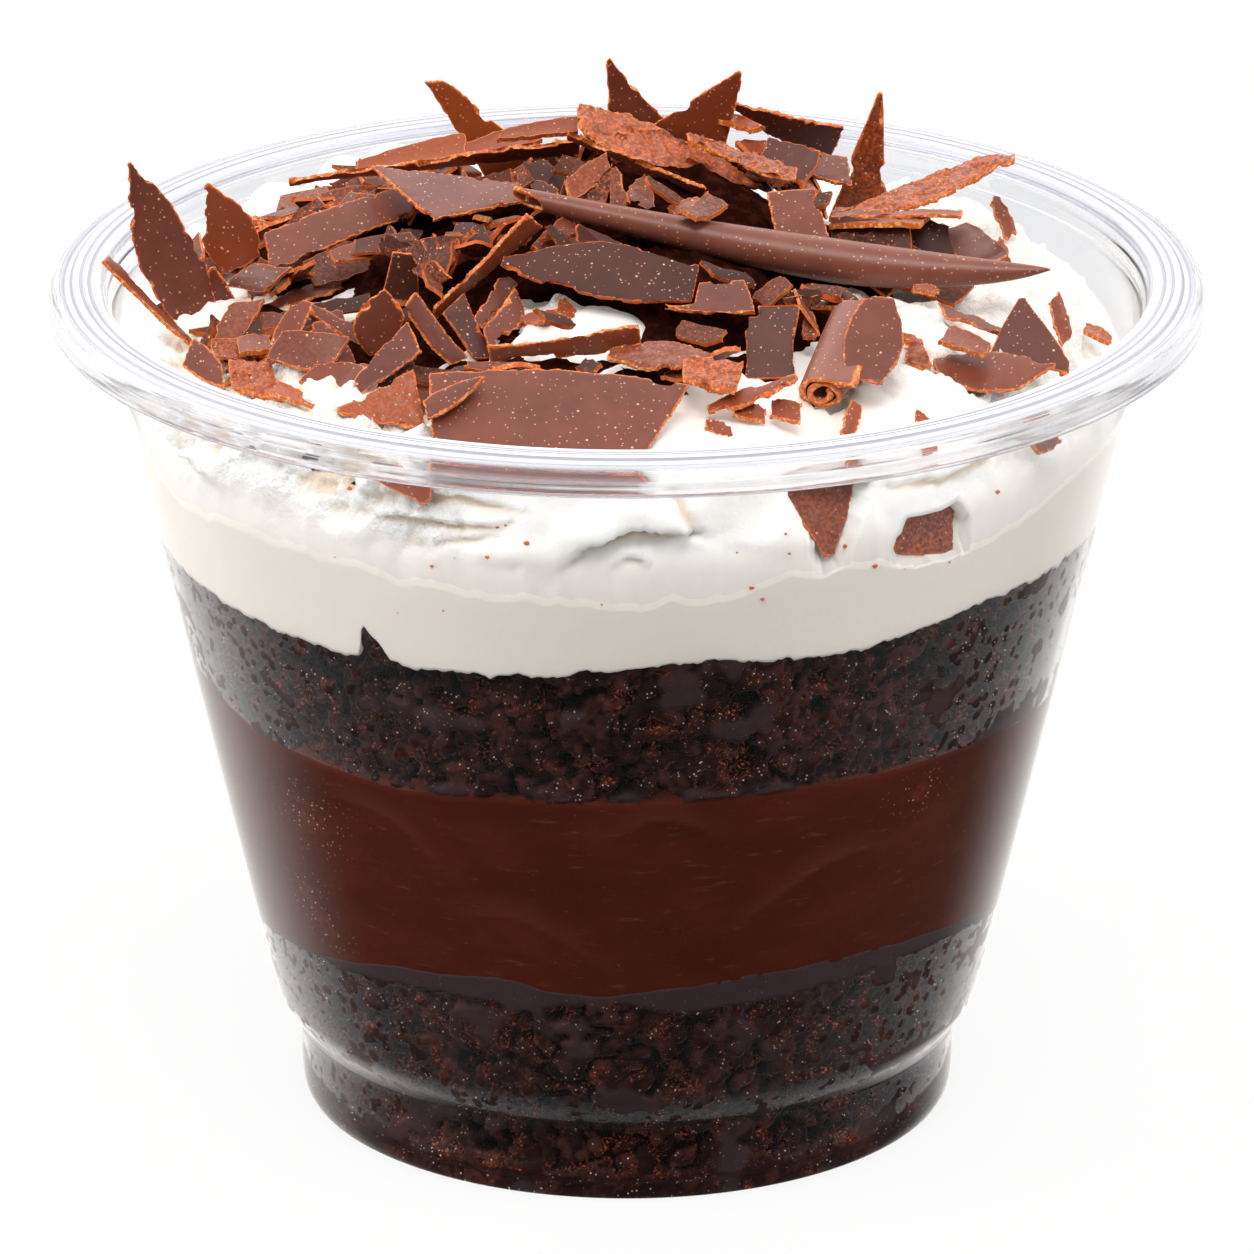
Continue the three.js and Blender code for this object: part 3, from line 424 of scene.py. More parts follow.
class Finish:
    """A node material while it is put together."""

    def __init__(self, name):
        self.material = bpy.data.materials.new(name)
        self.material.use_nodes = True
        self.nodes = self.material.node_tree.nodes
        self.nodes.clear()
        self.output = self.add("ShaderNodeOutputMaterial")
        self.surface = self.add("ShaderNodeBsdfPrincipled")
        self.set(self.output, Surface=self.surface.outputs[0])
        self.place = self.add("ShaderNodeTexCoord").outputs["Object"]

    def add(self, kind, **settings):
        node = self.nodes.new(kind)
        for key, value in settings.items():
            setattr(node, key, value)
        return node

    def set(self, node, inputs=None, **named):
        """Gives a node's inputs a value or a link."""
        for key, value in {**(inputs or {}), **named}.items():
            socket = node.inputs[key]
            if isinstance(value, bpy.types.NodeSocket):
                self.material.node_tree.links.new(value, socket)
            elif socket.type == "RGBA":
                socket.default_value = (*value[:3], 1)
            else:
                socket.default_value = value
        return node

    def value(self, name):
        """A named number of the mesh."""
        return self.add("ShaderNodeAttribute", attribute_name=name).outputs["Fac"]

    def noise(self, size, detail=3, stretch=(1, 1, 1)):
        """Noise from 0 to 1 with features of that size in millimetres."""
        mapping = self.set(self.add("ShaderNodeMapping"), Vector=self.place, Scale=stretch)
        node = self.add("ShaderNodeTexNoise")
        self.set(node, Vector=mapping.outputs[0], Scale=1 / (size * MM), Detail=detail, Roughness=0.6)
        return node.outputs["Fac"]

    def rings(self, size):
        """Noise from 0 to 1 that runs in rings round the upright axis."""
        flat = self.add("ShaderNodeVectorMath", operation="MULTIPLY")
        self.set(flat, {0: self.place, 1: (1, 1, 0)})
        radius = self.set(self.add("ShaderNodeVectorMath", operation="LENGTH"), {0: flat.outputs[0]})
        height = self.set(self.add("ShaderNodeSeparateXYZ"), {0: self.place}).outputs[2]
        spot = self.set(self.add("ShaderNodeCombineXYZ"), {0: radius.outputs["Value"], 1: height})
        node = self.add("ShaderNodeTexNoise")
        return self.set(node, Vector=spot.outputs[0], Scale=1 / (size * MM), Detail=2).outputs["Fac"]

    def dots(self, size, radius):
        """1 inside small dots, one for each cell of that size, and 0 outside."""
        node = self.set(self.add("ShaderNodeTexVoronoi"), Vector=self.place, Scale=1 / (size * MM))
        return self.clip(node.outputs["Distance"], radius / size, 0.6 * radius / size)

    def clip(self, value, start, end):
        """0 at start and 1 at end, held outside them."""
        node = self.add("ShaderNodeMapRange", interpolation_type="SMOOTHSTEP")
        self.set(node, {"Value": value, "From Min": start, "From Max": end})
        return node.outputs["Result"]

    def math(self, operation, first, second):
        return self.set(self.add("ShaderNodeMath", operation=operation), {0: first, 1: second}).outputs[0]

    def times(self, first, second):
        return self.math("MULTIPLY", first, second)

    def plus(self, first, second):
        return self.math("ADD", first, second)

    def minus(self, first, second):
        return self.math("SUBTRACT", first, second)

    def mix(self, share, first, second):
        node = self.add("ShaderNodeMix", data_type="RGBA")
        return self.set(node, {0: share, 6: first, 7: second}).outputs[2]

    def paint(self, share, colour):
        """Lays a colour over what was painted so far."""
        self.shade = self.mix(share, self.shade, colour)

    def edge_on(self, start, end):
        """0 where the surface is seen straight on and 1 where it is seen edge on."""
        facing_away = self.set(self.add("ShaderNodeLayerWeight"), Blend=0.5).outputs["Facing"]
        return self.clip(facing_away, start, end)

    def bump(self, height, distance, strength=1.0, normal=None):
        node = self.add("ShaderNodeBump")
        self.set(node, Height=height, Distance=distance * MM, Strength=strength)
        if normal:
            self.set(node, Normal=normal)
        return node.outputs[0]


def plastic_finish(settings):
    """Clear, hard plastic that lets the lamps through to what is behind it."""
    finish = Finish("clear_plastic")
    haze = finish.value("haze")
    finish.set(finish.surface, {
        "Base Color": finish.mix(finish.clip(haze, 0.0, 0.25), settings.tint, srgb(252, 252, 254)),
        "Roughness": settings.roughness,
        "IOR": settings.ior,
        "Specular Tint": finish.mix(finish.value("wet"), settings.gloss, srgb(0, 0, 0)),
        "Transmission Weight": 1.0,
    })
    ripple = finish.noise(9, detail=1, stretch=(1, 1, 0.3))
    rings = finish.rings(0.5)
    normal = finish.bump(ripple, 0.02, 0.25)
    finish.set(finish.surface, Normal=finish.bump(rings, 0.04, finish.clip(haze, 0.0, 0.1), normal))
    clear = finish.set(finish.add("ShaderNodeBsdfTransparent"), Color=(1, 1, 1))
    # the rim's milky haze, partly its own, is painted in light and dark stripes that stand in for the
    # reflection lines of its ridges
    milk = finish.add("ShaderNodeBsdfDiffuse")
    finish.set(milk, Color=finish.mix(finish.clip(rings, 0.42, 0.56), settings.milk_shade, settings.milk))
    clouded = finish.add("ShaderNodeMixShader")
    stripes = finish.times(haze, finish.plus(0.25, finish.clip(rings, 0.42, 0.6)))
    stripes = finish.plus(stripes, finish.times(finish.clip(haze, 0.3, 0.7), 0.45))
    finish.set(clouded, {0: stripes, 1: finish.surface.outputs[0], 2: milk.outputs[0]})
    shadow = finish.add("ShaderNodeLightPath").outputs["Is Shadow Ray"]
    blend = finish.add("ShaderNodeMixShader")
    finish.set(blend, {0: shadow, 1: clouded.outputs[0], 2: clear.outputs[0]})
    finish.set(finish.output, Surface=blend.outputs[0])
    return finish.material


def cake_finish(settings):
    """Dark, moist crumb with pits in painted shade, painted warm highlights and painted wet glints, a thin
    grey film where it is pressed on, and a painted reflection where it is seen edge on.
    """
    finish = Finish("dark_cake")
    pit_shade = finish.value("pit_shade")
    film = finish.times(finish.value("film"), 0.9)
    bare = finish.minus(1.0, film)
    finish.shade = finish.mix(finish.clip(finish.value("grain"), 0.3, 0.9), settings.dark, settings.crumb)
    finish.paint(finish.clip(finish.noise(0.7, detail=4), 0.5, 0.62), settings.dark)
    # painted warm and bright highlights, mostly at the edges of holes and cracks and in clusters
    speckle = finish.noise(0.24, detail=2)
    cluster = finish.clip(finish.noise(2.0, detail=3), 0.5, 0.7)
    lively = finish.clip(finish.plus(finish.value("warm_highlight"), finish.times(cluster, 0.6)), 0.0, 1.0)
    # painted shade deep in the holes and cracks and between the grains
    finish.paint(finish.clip(pit_shade, 0.15, 0.75), settings.pit_shade)
    finish.paint(finish.times(lively, finish.clip(speckle, 0.5, 0.6)), settings.crumb_warm_highlight)
    finish.paint(finish.times(lively, finish.clip(speckle, 0.6, 0.68)), settings.crumb_bright_highlight)
    finish.paint(film, settings.film)
    # painted glints: pale dots that stand in for the lamps' reflections on the wet crumb, kept out of the
    # pits and the film
    wet = finish.times(finish.dots(0.42, 0.085), finish.clip(finish.noise(1.7, detail=2), 0.48, 0.6))
    wet = finish.times(wet, finish.minus(bare, finish.clip(pit_shade, 0.1, 0.6)))
    finish.paint(wet, settings.glint)
    # painted reflection: the film colour laid where the crumb is seen edge on, for the wall's grazing
    # reflection
    finish.paint(finish.times(finish.edge_on(0.3, 0.8), 0.18), settings.film)
    finish.set(finish.surface, {
        "Base Color": finish.shade,
        "Roughness": 0.4,
        "Specular IOR Level": 0.03,
        "Normal": finish.bump(finish.noise(0.3, detail=4), 0.14, bare),
    })
    return finish.material


def mousse_finish(settings):
    """Smooth, dense mousse with faint smears and fine bubbles, painted sparkles in its crumbly spots, and a
    painted sheen where it is seen edge on.
    """
    finish = Finish("chocolate_mousse")
    cloud = finish.noise(9, detail=4, stretch=(1, 1, 2.2))
    fine = finish.noise(0.5, detail=3)
    streak = finish.noise(0.8, detail=4, stretch=(0.3, 0.3, 1.6))
    crumbly = finish.value("crumbly")
    finish.shade = finish.mix(finish.clip(cloud, 0.35, 0.75), settings.deep, settings.light)
    finish.paint(finish.times(finish.value("smear"), 0.8), settings.smear)
    finish.paint(finish.clip(fine, 0.55, 0.8), settings.light)
    finish.paint(finish.times(finish.clip(streak, 0.6, 0.75), 0.35), settings.bubble)
    finish.paint(finish.times(finish.dots(1.9, 0.11), 0.5), settings.bubble)
    patch = finish.clip(finish.times(crumbly, finish.noise(0.8, detail=3)), 0.3, 0.8)
    finish.paint(patch, settings.crumbly)
    # painted sparkles: bright dots in the crumbly spots that stand in for glints
    finish.paint(finish.times(crumbly, finish.dots(0.5, 0.1)), settings.painted_sparkle)
    # painted sheen: a lighter colour where the mousse is seen edge on, for the reflection of the bright room
    finish.paint(finish.times(finish.edge_on(0.22, 0.8), 0.55), settings.edge_on_sheen)
    normal = finish.bump(fine, 0.04, 0.5)
    normal = finish.bump(finish.noise(0.7, detail=3), 0.3, finish.clip(crumbly, 0.0, 0.8), normal)
    finish.set(finish.surface, {
        "Base Color": finish.shade,
        "Roughness": 0.45,
        "Specular IOR Level": 0.04,
        "Normal": finish.bump(finish.dots(1.1, 0.14), 0.05, 0.6, normal),
    })
    return finish.material


def cream_finish(settings):
    """Whipped cream: warm white, soft, faintly glossy where it is wet, with painted warm shade in its hollows
    and painted shade where it lies against the wall.
    """
    finish = Finish("whipped_cream")
    cloud = finish.noise(5, detail=3)
    finish.shade = finish.mix(finish.clip(cloud, 0.3, 0.7), settings.colour, settings.shade)
    # painted warm shade in the hollows, in the grooves under the folds and low at the front
    finish.paint(finish.clip(finish.value("hollow"), 0.0, 1.0), settings.hollow)
    # painted shade: a darker colour where the cream lies against the wall, partly its own wetter look against
    # the plastic
    finish.paint(finish.value("pressed"), settings.pressed)
    normal = finish.bump(finish.noise(0.6, detail=3), 0.04, 0.4)
    curds = finish.clip(finish.value("curds"), -0.1, 0.9)
    finish.set(finish.surface, {
        "Base Color": finish.shade,
        "Roughness": 0.38,
        "Normal": finish.bump(finish.noise(0.9, detail=5), 0.8, curds, normal),
        "Subsurface Weight": 0.4,
        "Subsurface Radius": (1.0, 0.85, 0.7),
        "Subsurface Scale": 0.0007,
    })
    return finish.material


def chocolate_finish(settings):
    """Shaved chocolate: dusky faces with pale specks and rough orange-brown broken edges, with painted shade
    and painted light on some shavings and painted highlights on the edges.
    """
    finish = Finish("shaved_chocolate")
    torn, painted_shading = finish.value("torn"), finish.value("painted_shading")
    cloud = finish.noise(2.4, detail=3)
    grit = finish.noise(0.3, detail=3)
    finish.shade = finish.mix(finish.clip(cloud, 0.3, 0.75), settings.face, settings.face_pale)
    finish.paint(finish.value("tone"), settings.face_warm)
    # painted shade darkens a shaving toward the deep colour, and painted light, where the value is below 0,
    # lightens it
    finish.paint(painted_shading, settings.core)
    finish.paint(finish.times(painted_shading, -1.0), settings.face_painted_light)
    finish.paint(finish.times(torn, finish.clip(grit, 0.42, 0.62)), settings.rim)
    edge = finish.plus(finish.value("rim"), finish.times(finish.noise(0.4), 0.5))
    darker = finish.times(finish.clip(painted_shading, 0.0, 1.0), 0.5)
    edge = finish.minus(edge, darker)
    # the broken edges, partly their own orange-brown and partly a painted highlight along them
    finish.paint(finish.clip(edge, 0.6, 1.0), settings.rim)
    # painted highlight: the lightest spots on the broken edges, where they catch the light
    bright = finish.times(finish.clip(edge, 0.95, 1.3), finish.clip(grit, 0.48, 0.66))
    finish.paint(bright, settings.rim_highlight)
    finish.paint(finish.times(finish.dots(0.5, 0.085), 0.7), settings.speck)
    finish.paint(finish.times(finish.dots(1.1, 0.13), 0.9), settings.speck)
    normal = finish.bump(finish.noise(0.9, detail=3), 0.03, 0.5)
    finish.set(finish.surface, {
        "Base Color": finish.shade,
        "Roughness": finish.plus(0.36, darker),
        "Specular IOR Level": 0.38,
        "Sheen Weight": 0.05,
        "Sheen Roughness": 0.4,
        "Sheen Tint": srgb(240, 205, 195),
        "Normal": finish.bump(grit, 0.08, finish.clip(finish.plus(edge, torn), 0.2, 1.6), normal),
    })
    return finish.material


def core_finish(settings):
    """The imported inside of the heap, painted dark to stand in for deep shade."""
    finish = Finish("heap_shade_core")
    finish.shade = finish.mix(finish.clip(finish.noise(1.2), 0.4, 0.7), settings.core, settings.face)
    # painted shade: the core is laid mostly in the deep colour
    finish.paint(0.75, settings.core)
    finish.set(finish.surface, {
        "Base Color": finish.shade,
        "Roughness": 0.9,
        "Specular IOR Level": 0.0,
        "Normal": finish.bump(finish.noise(0.7), 0.3, 0.9),
    })
    return finish.material


# ---- the cup -------------------------------------------------------------------------------


def cup_profile(settings):
    """The wall's section as radius and height: up its outside, over the rim, down its inside."""
    foot = [(0, 0.8), (21, 0.8), (22.5, 0.0), (26.0, 0.0), (26.8, 0.25)]
    rim = [
        (43.05, 69.6), (43.2, 70.3), (43.7, 70.65), (45.4, 70.75), (46.3, 70.5), (46.6, 69.8),
        (46.65, 69.1), (46.8, 68.7), (47.15, 68.6), (47.45, 68.75), (47.5, 69.2), (47.5, 70.2),
        (47.3, 70.75), (46.9, 71.05), (46.45, 71.2), (46.2, 71.05), (45.9, 71.1), (45.6, 71.4),
        (45.0, 71.5), (44.4, 71.42), (44.1, 71.3), (43.8, 71.42), (43.4, 71.4), (43.0, 71.1),
        (42.8, 70.6), (42.7, 70.0), (42.45, 69.5), (42.3, 69.1), (42.45, 68.7), (42.5, 68.3),
    ]
    inside = [(r, z) for z, r in INSIDE if z < 60]
    inside += [(inside_radius(z), z) for z in np.arange(16, 67.8, 2.4)] + [(42.37, 68.0)]
    profile = foot + [(r, z) for z, r in OUTSIDE] + rim + inside[::-1] + [(0, FLOOR)]
    for _ in range(settings.rounding):
        points = np.array(profile)
        before, after = 0.75 * points[:-1] + 0.25 * points[1:], 0.25 * points[:-1] + 0.75 * points[1:]
        middle = np.stack([before, after], axis=1).reshape(-1, 2)
        profile = [points[0], *middle[1:-1], points[-1]]
    return np.array(profile)


def build_cup(settings):
    profile = cup_profile(settings)[1:-1]
    turns = np.arange(settings.segments) * 360 / settings.segments
    rings = [around(turns, r, z) for r, z in profile]
    points, faces = closed_rings(rings)
    radius, height = profile.T
    # the rim is slightly milky, its flat top more so
    top = smooth(70.2, 70.7, height) * smooth(46.9, 46.2, radius)
    haze = (settings.haze + settings.top_haze * top) * smooth(68.0, 68.8, height) * smooth(42.9, 43.7, radius)
    haze = np.concatenate([np.repeat(haze, len(turns)), [0, 0]])
    # the inside of the wall is wet up to the line where the cream leaves it
    within = np.arange(len(profile)) > np.argmax(height)
    wet = within[:, None] * smooth(0.3, -0.5, height[:, None] - cream_edge(turns)[None])
    wet = np.concatenate([wet.ravel(), [0, 1]])
    values = {"haze": haze, "wet": wet}
    cup = new_piece("clear_cup", points, faces, plastic_finish(settings), values, flat_angle=60)
    finish_piece(cup, "plastic", "cup")


# ---- cake and mousse -----------------------------------------------------------------------


def layer_rings(low, high, columns, rows):
    """Rings of a layer's side between two heights for each of its columns, and their angles."""
    angles = np.arange(columns) * 360 / columns
    share = np.linspace(0, 1, rows)[:, None]
    z = low(angles) * (1 - share) + high(angles) * share
    return angles, around(angles, filling_radius(z), z)


def drip(angle):
    """How far a drip of cake stands up into the cream."""
    here = around(angle, 40, 0)
    away = (angle + 31.5 + 180) % 360 - 180
    return np.exp(-((away / 1.8) ** 4)) * (2.3 + 0.6 * wander(here, 0.5, 64)) * (1 - 0.2 * away)


def crumb_relief(points, settings):
    """How far the crumb lies behind the wall, how much painted shade lies in its holes, its cracks and
    between its grains, its grain, how smooth it is and where painted warm highlights go."""
    size = settings.crumb_size / MM
    swirl = points + 0.18 * drift(points, 1.1, 11)
    near, _, which = grains(swirl, size, 1)
    clump, clump_far, clump_which = grains(swirl, 2.6 * size, 5)
    smeared = smooth(0.4, 0.75, layered(points * (1, 1, 1.3), 4.2, 35) + 0.12 * wander(points, 0.7, 36))
    open_crumb = smooth(-0.5, 0.45, layered(points * (1, 1, 1.4), 6.0, 33))
    holes = smooth(0.28, 0.62, layered(swirl * (1, 1, 1.25), 1.7, 38)) * open_crumb
    cracks = smooth(0.17, 0.03, clump_far - clump) * smooth(-0.2, 0.5, layered(points, 3.1, 37))
    rough = 1 - 0.92 * smeared
    depth = 0.5 * size * smooth(0.15, 0.8, near) + 0.45 * cracks + 0.12 * wander(points, 0.45, 21)
    depth = rough * (depth + settings.pit_depth / MM * holes)
    depth = depth + 0.3 * np.maximum(0, layered(points, 4.5, 31))
    # painted shade: darkest in the holes and cracks and toward the edges of each grain
    shade = rough * np.clip(holes + cracks + 0.6 * smooth(0.45, 0.8, near), 0, 1)
    # painted warm highlights sit at the edges of the holes and cracks
    warm_highlight = rough * (4 * holes * (1 - holes) + 2.4 * cracks * (1 - cracks))
    warm_highlight = np.clip(warm_highlight * smooth(-0.3, 0.3, wander(points, 2.2, 39)), 0, 1)
    return depth, shade, 0.55 * which + 0.45 * clump_which, smeared, warm_highlight


def build_cake(name, low, high, columns, rows, film_of, material, settings):
    """A layer of cake: a skin of crumbs pressed against the wall, closed above and below."""
    angles, rings = layer_rings(low, high, columns, rows)
    points = rings.reshape(-1, 3)
    angle = np.tile(angles, rows)
    depth, pit_shade, grain, smeared, warm_highlight = crumb_relief(points, settings)
    film = np.maximum(film_of(angle, points), 0.8 * smeared)
    press = (1 - 0.92 * film) * smooth(2.0, 3.4, points[:, 2])
    radius = np.hypot(points[:, 0], points[:, 1])
    points[:, :2] *= (1 - np.maximum(0, depth * press - 0.08) / radius)[:, None]
    lower, upper = rings[0] * (0.97, 0.97, 1), rings[-1] * (0.97, 0.97, 1)
    body, faces = closed_rings([lower, *rings, upper])
    pad = np.zeros(columns)
    values = {"pit_shade": pit_shade * press, "grain": grain, "film": film, "warm_highlight": warm_highlight * press}
    values = {k: np.concatenate([pad, v, pad, [0, 0]]) for k, v in values.items()}
    cake = new_piece(name, body, faces, material, values)
    finish_piece(cake, "cake", name.replace("_crumb", ""))


def build_cakes(settings):
    material = cake_finish(settings)

    def film_below(angle, points):
        edge = line_at(FILM_EDGE, angle) + 0.25 * layered(points, 1.6, 41)
        return smooth(-0.15, 0.2, points[:, 2] - edge)

    def film_above(angle, points):
        height = points[:, 2] - line_at(MOUSSE_TO_CAKE, angle)
        ragged = 0.5 * layered(points, 2.0, 43)
        right = np.exp(-(((angle - 67 + 180) % 360 - 180) / 12) ** 2) * smooth(3.6, 1.6, height + ragged)
        left = np.exp(-(((angle + 72 + 180) % 360 - 180) / 9) ** 2) * smooth(0.2, 0.8, ragged + 0.5)
        low = smooth(1.3, 0.5, height + 0.8 * ragged) * smooth(-0.1, 0.4, layered(points, 6.0, 45))
        return np.clip(0.9 * right + 0.7 * left + 0.9 * low, 0, 1)

    build_cake(
        "cake_bottom_crumb", lambda a: np.full(len(a), 0.15),
        lambda a: line_at(CAKE_TO_MOUSSE, a) + 0.12 * wander(around(a, 30, 0), 1.3, 7),
        settings.bottom_columns, 82, film_below, material, settings,
    )
    build_cake(
        "cake_top_crumb", lambda a: line_at(MOUSSE_TO_CAKE, a) + 0.2 * wander(around(a, 38, 0), 1.6, 8),
        lambda a: line_at(CAKE_TO_CREAM, a) + 0.8 + drip(a),
        settings.top_columns, 58, film_above, material, settings,
    )


def build_mousse(settings):
    """Mousse between the cakes, pressed smooth against the wall."""
    angles, rings = layer_rings(
        lambda a: line_at(CAKE_TO_MOUSSE, a) - 0.3, lambda a: line_at(MOUSSE_TO_CAKE, a) + 0.9,
        settings.columns, settings.rows,
    )
    points = rings.reshape(-1, 3)
    angle = (np.tile(angles, len(rings)) + 180) % 360 - 180
    top = line_at(MOUSSE_TO_CAKE, angle)
    hollow = 0.03 * layered(points * (1, 1, 1.8), 5, 51) + 0.7 * smooth(-0.1, 0.5, points[:, 2] - top)
    radius = np.hypot(points[:, 0], points[:, 1])
    points[:, :2] *= (1 - np.maximum(0, hollow) / radius)[:, None]
    # smears: crisp along one curved side, soft on the other
    smear = np.zeros(len(points))
    for middle, height, reach, drop in SMEARS:
        across = (angle - middle) / reach
        ridge = height - drop * (angle - middle) + 1.1 * np.cos(2.2 * across)
        above = points[:, 2] - (ridge + 0.35 * layered(points, 3, 53))
        smear += smooth(-0.15, 0.12, above) * smooth(2.8, 0.1, above) * np.exp(-across**2)
    rough = np.zeros(len(points))
    for middle, height, wide, tall in CRUMBLY:
        rough += np.exp(-(((angle - middle) / wide) ** 2) - ((points[:, 2] - height) / tall) ** 2)
    body, faces = closed_rings([rings[0] * (0.97, 0.97, 1), *rings, rings[-1] * (0.97, 0.97, 1)])
    pad = np.zeros(len(angles))
    values = {"smear": smear, "crumbly": rough}
    values = {k: np.concatenate([pad, np.clip(v, 0, 1), pad, [0, 0]]) for k, v in values.items()}
    mousse = new_piece("mousse_layer", body, faces, mousse_finish(settings), values)
    finish_piece(mousse, "mousse", "mousse")


# ---- cream ---------------------------------------------------------------------------------


def turn_from_front(angle):
    return np.abs((angle + 180) % 360 - 180)


def cream_edge(angle):
    """The ragged line where the cream leaves the wall."""
    here = around(angle, 40, 0)
    flat = here.reshape(-1, 3)
    ragged = 0.4 * layered(flat, 3.6, 66) + 0.2 * layered(flat, 1.1, 67)
    return line_at(CREAM_LINE, angle) + ragged.reshape(here.shape[:-1])


def shoulder_at(angle):
    """Radius at which the flank of the cream turns into its crown."""
    return 34 + 2.5 * np.cos(np.radians(angle + 55))


def cream_height(angle, radius):
    """Top of the cream: a steep flank at the front, a shallow one at the back, a round crown."""
    turn = turn_from_front(angle)
    edge = cream_edge(angle)
    left = smooth(20, -20, (angle + 180) % 360 - 180)
    swell = (0.3 + 1.9 * left) * smooth(60, 110, turn) * smooth(172, 150, turn)
    shoulder = np.maximum(68, edge + 0.5) + swell
    shoulder_radius = shoulder_at(angle)
    edge_radius = filling_radius(edge)
    t = np.clip((edge_radius - radius) / (edge_radius - shoulder_radius), 0, 1)
    climb = np.sin(t * np.pi / 2) ** 0.62
    crown = CROWN + (shoulder - CROWN) * np.clip(radius / shoulder_radius, 0, 1) ** 2
    z = np.where(radius > shoulder_radius, edge + (shoulder - edge) * climb, crown)
    here = around(angle, radius, 0.0)
    for x, y, height, reach in CREAM_LUMPS:
        away = ((here[..., 0] - x) ** 2 + (here[..., 1] - y) ** 2) / reach**2
        z = z + height * np.exp(-away) * smooth(0, 0.12, t + (radius < shoulder_radius))
    return z


def fold_offset(points, line, height, width):
    """How far a fold pushes the cream out, how far its lip hangs down, and its shade."""
    flat = points[:, [0, 2]]
    best = np.full(len(flat), 99.0)
    above = np.zeros(len(flat))
    fade = np.zeros(len(flat))
    lengths = [math.dist(a, b) for a, b in zip(line, line[1:])]
    run = 0.0
    for (a, b), length in zip(zip(line, line[1:]), lengths):
        a, b = np.array(a), np.array(b)
        along = (b - a) / length
        t = np.clip((flat - a) @ along, 0, length)
        gap = flat - a - t[:, None] * along
        distance = np.hypot(gap[:, 0], gap[:, 1])
        side = along[0] * (flat[:, 1] - a[1]) - along[1] * (flat[:, 0] - a[0])
        closer = distance < best
        best = np.where(closer, distance, best)
        above = np.where(closer, np.sign(side) * distance, above)
        place = (run + t) / sum(lengths)
        fade = np.where(closer, np.sin(np.pi * np.clip(0.08 + 0.84 * place, 0, 1)) ** 0.6, fade)
        run += length
    front = smooth(-8, -16, points[:, 1])
    lobe = smooth(width, 0.0, above) * smooth(-0.25, 0.15, above)
    groove = smooth(-0.9, -0.35, above) * smooth(0.1, -0.2, above)
    out = height * fade * front * (lobe - 0.55 * groove)
    hang = 0.4 * height * fade * front * smooth(1.2, 0.0, above) * smooth(-0.2, 0.2, above)
    return out, hang, fade * front * groove


def large_nodes():
    layers = ("cup", "cake_bottom", "cake_top", "mousse", "cream", "shavings_heap")
    return [name for name in NODES if name not in layers]


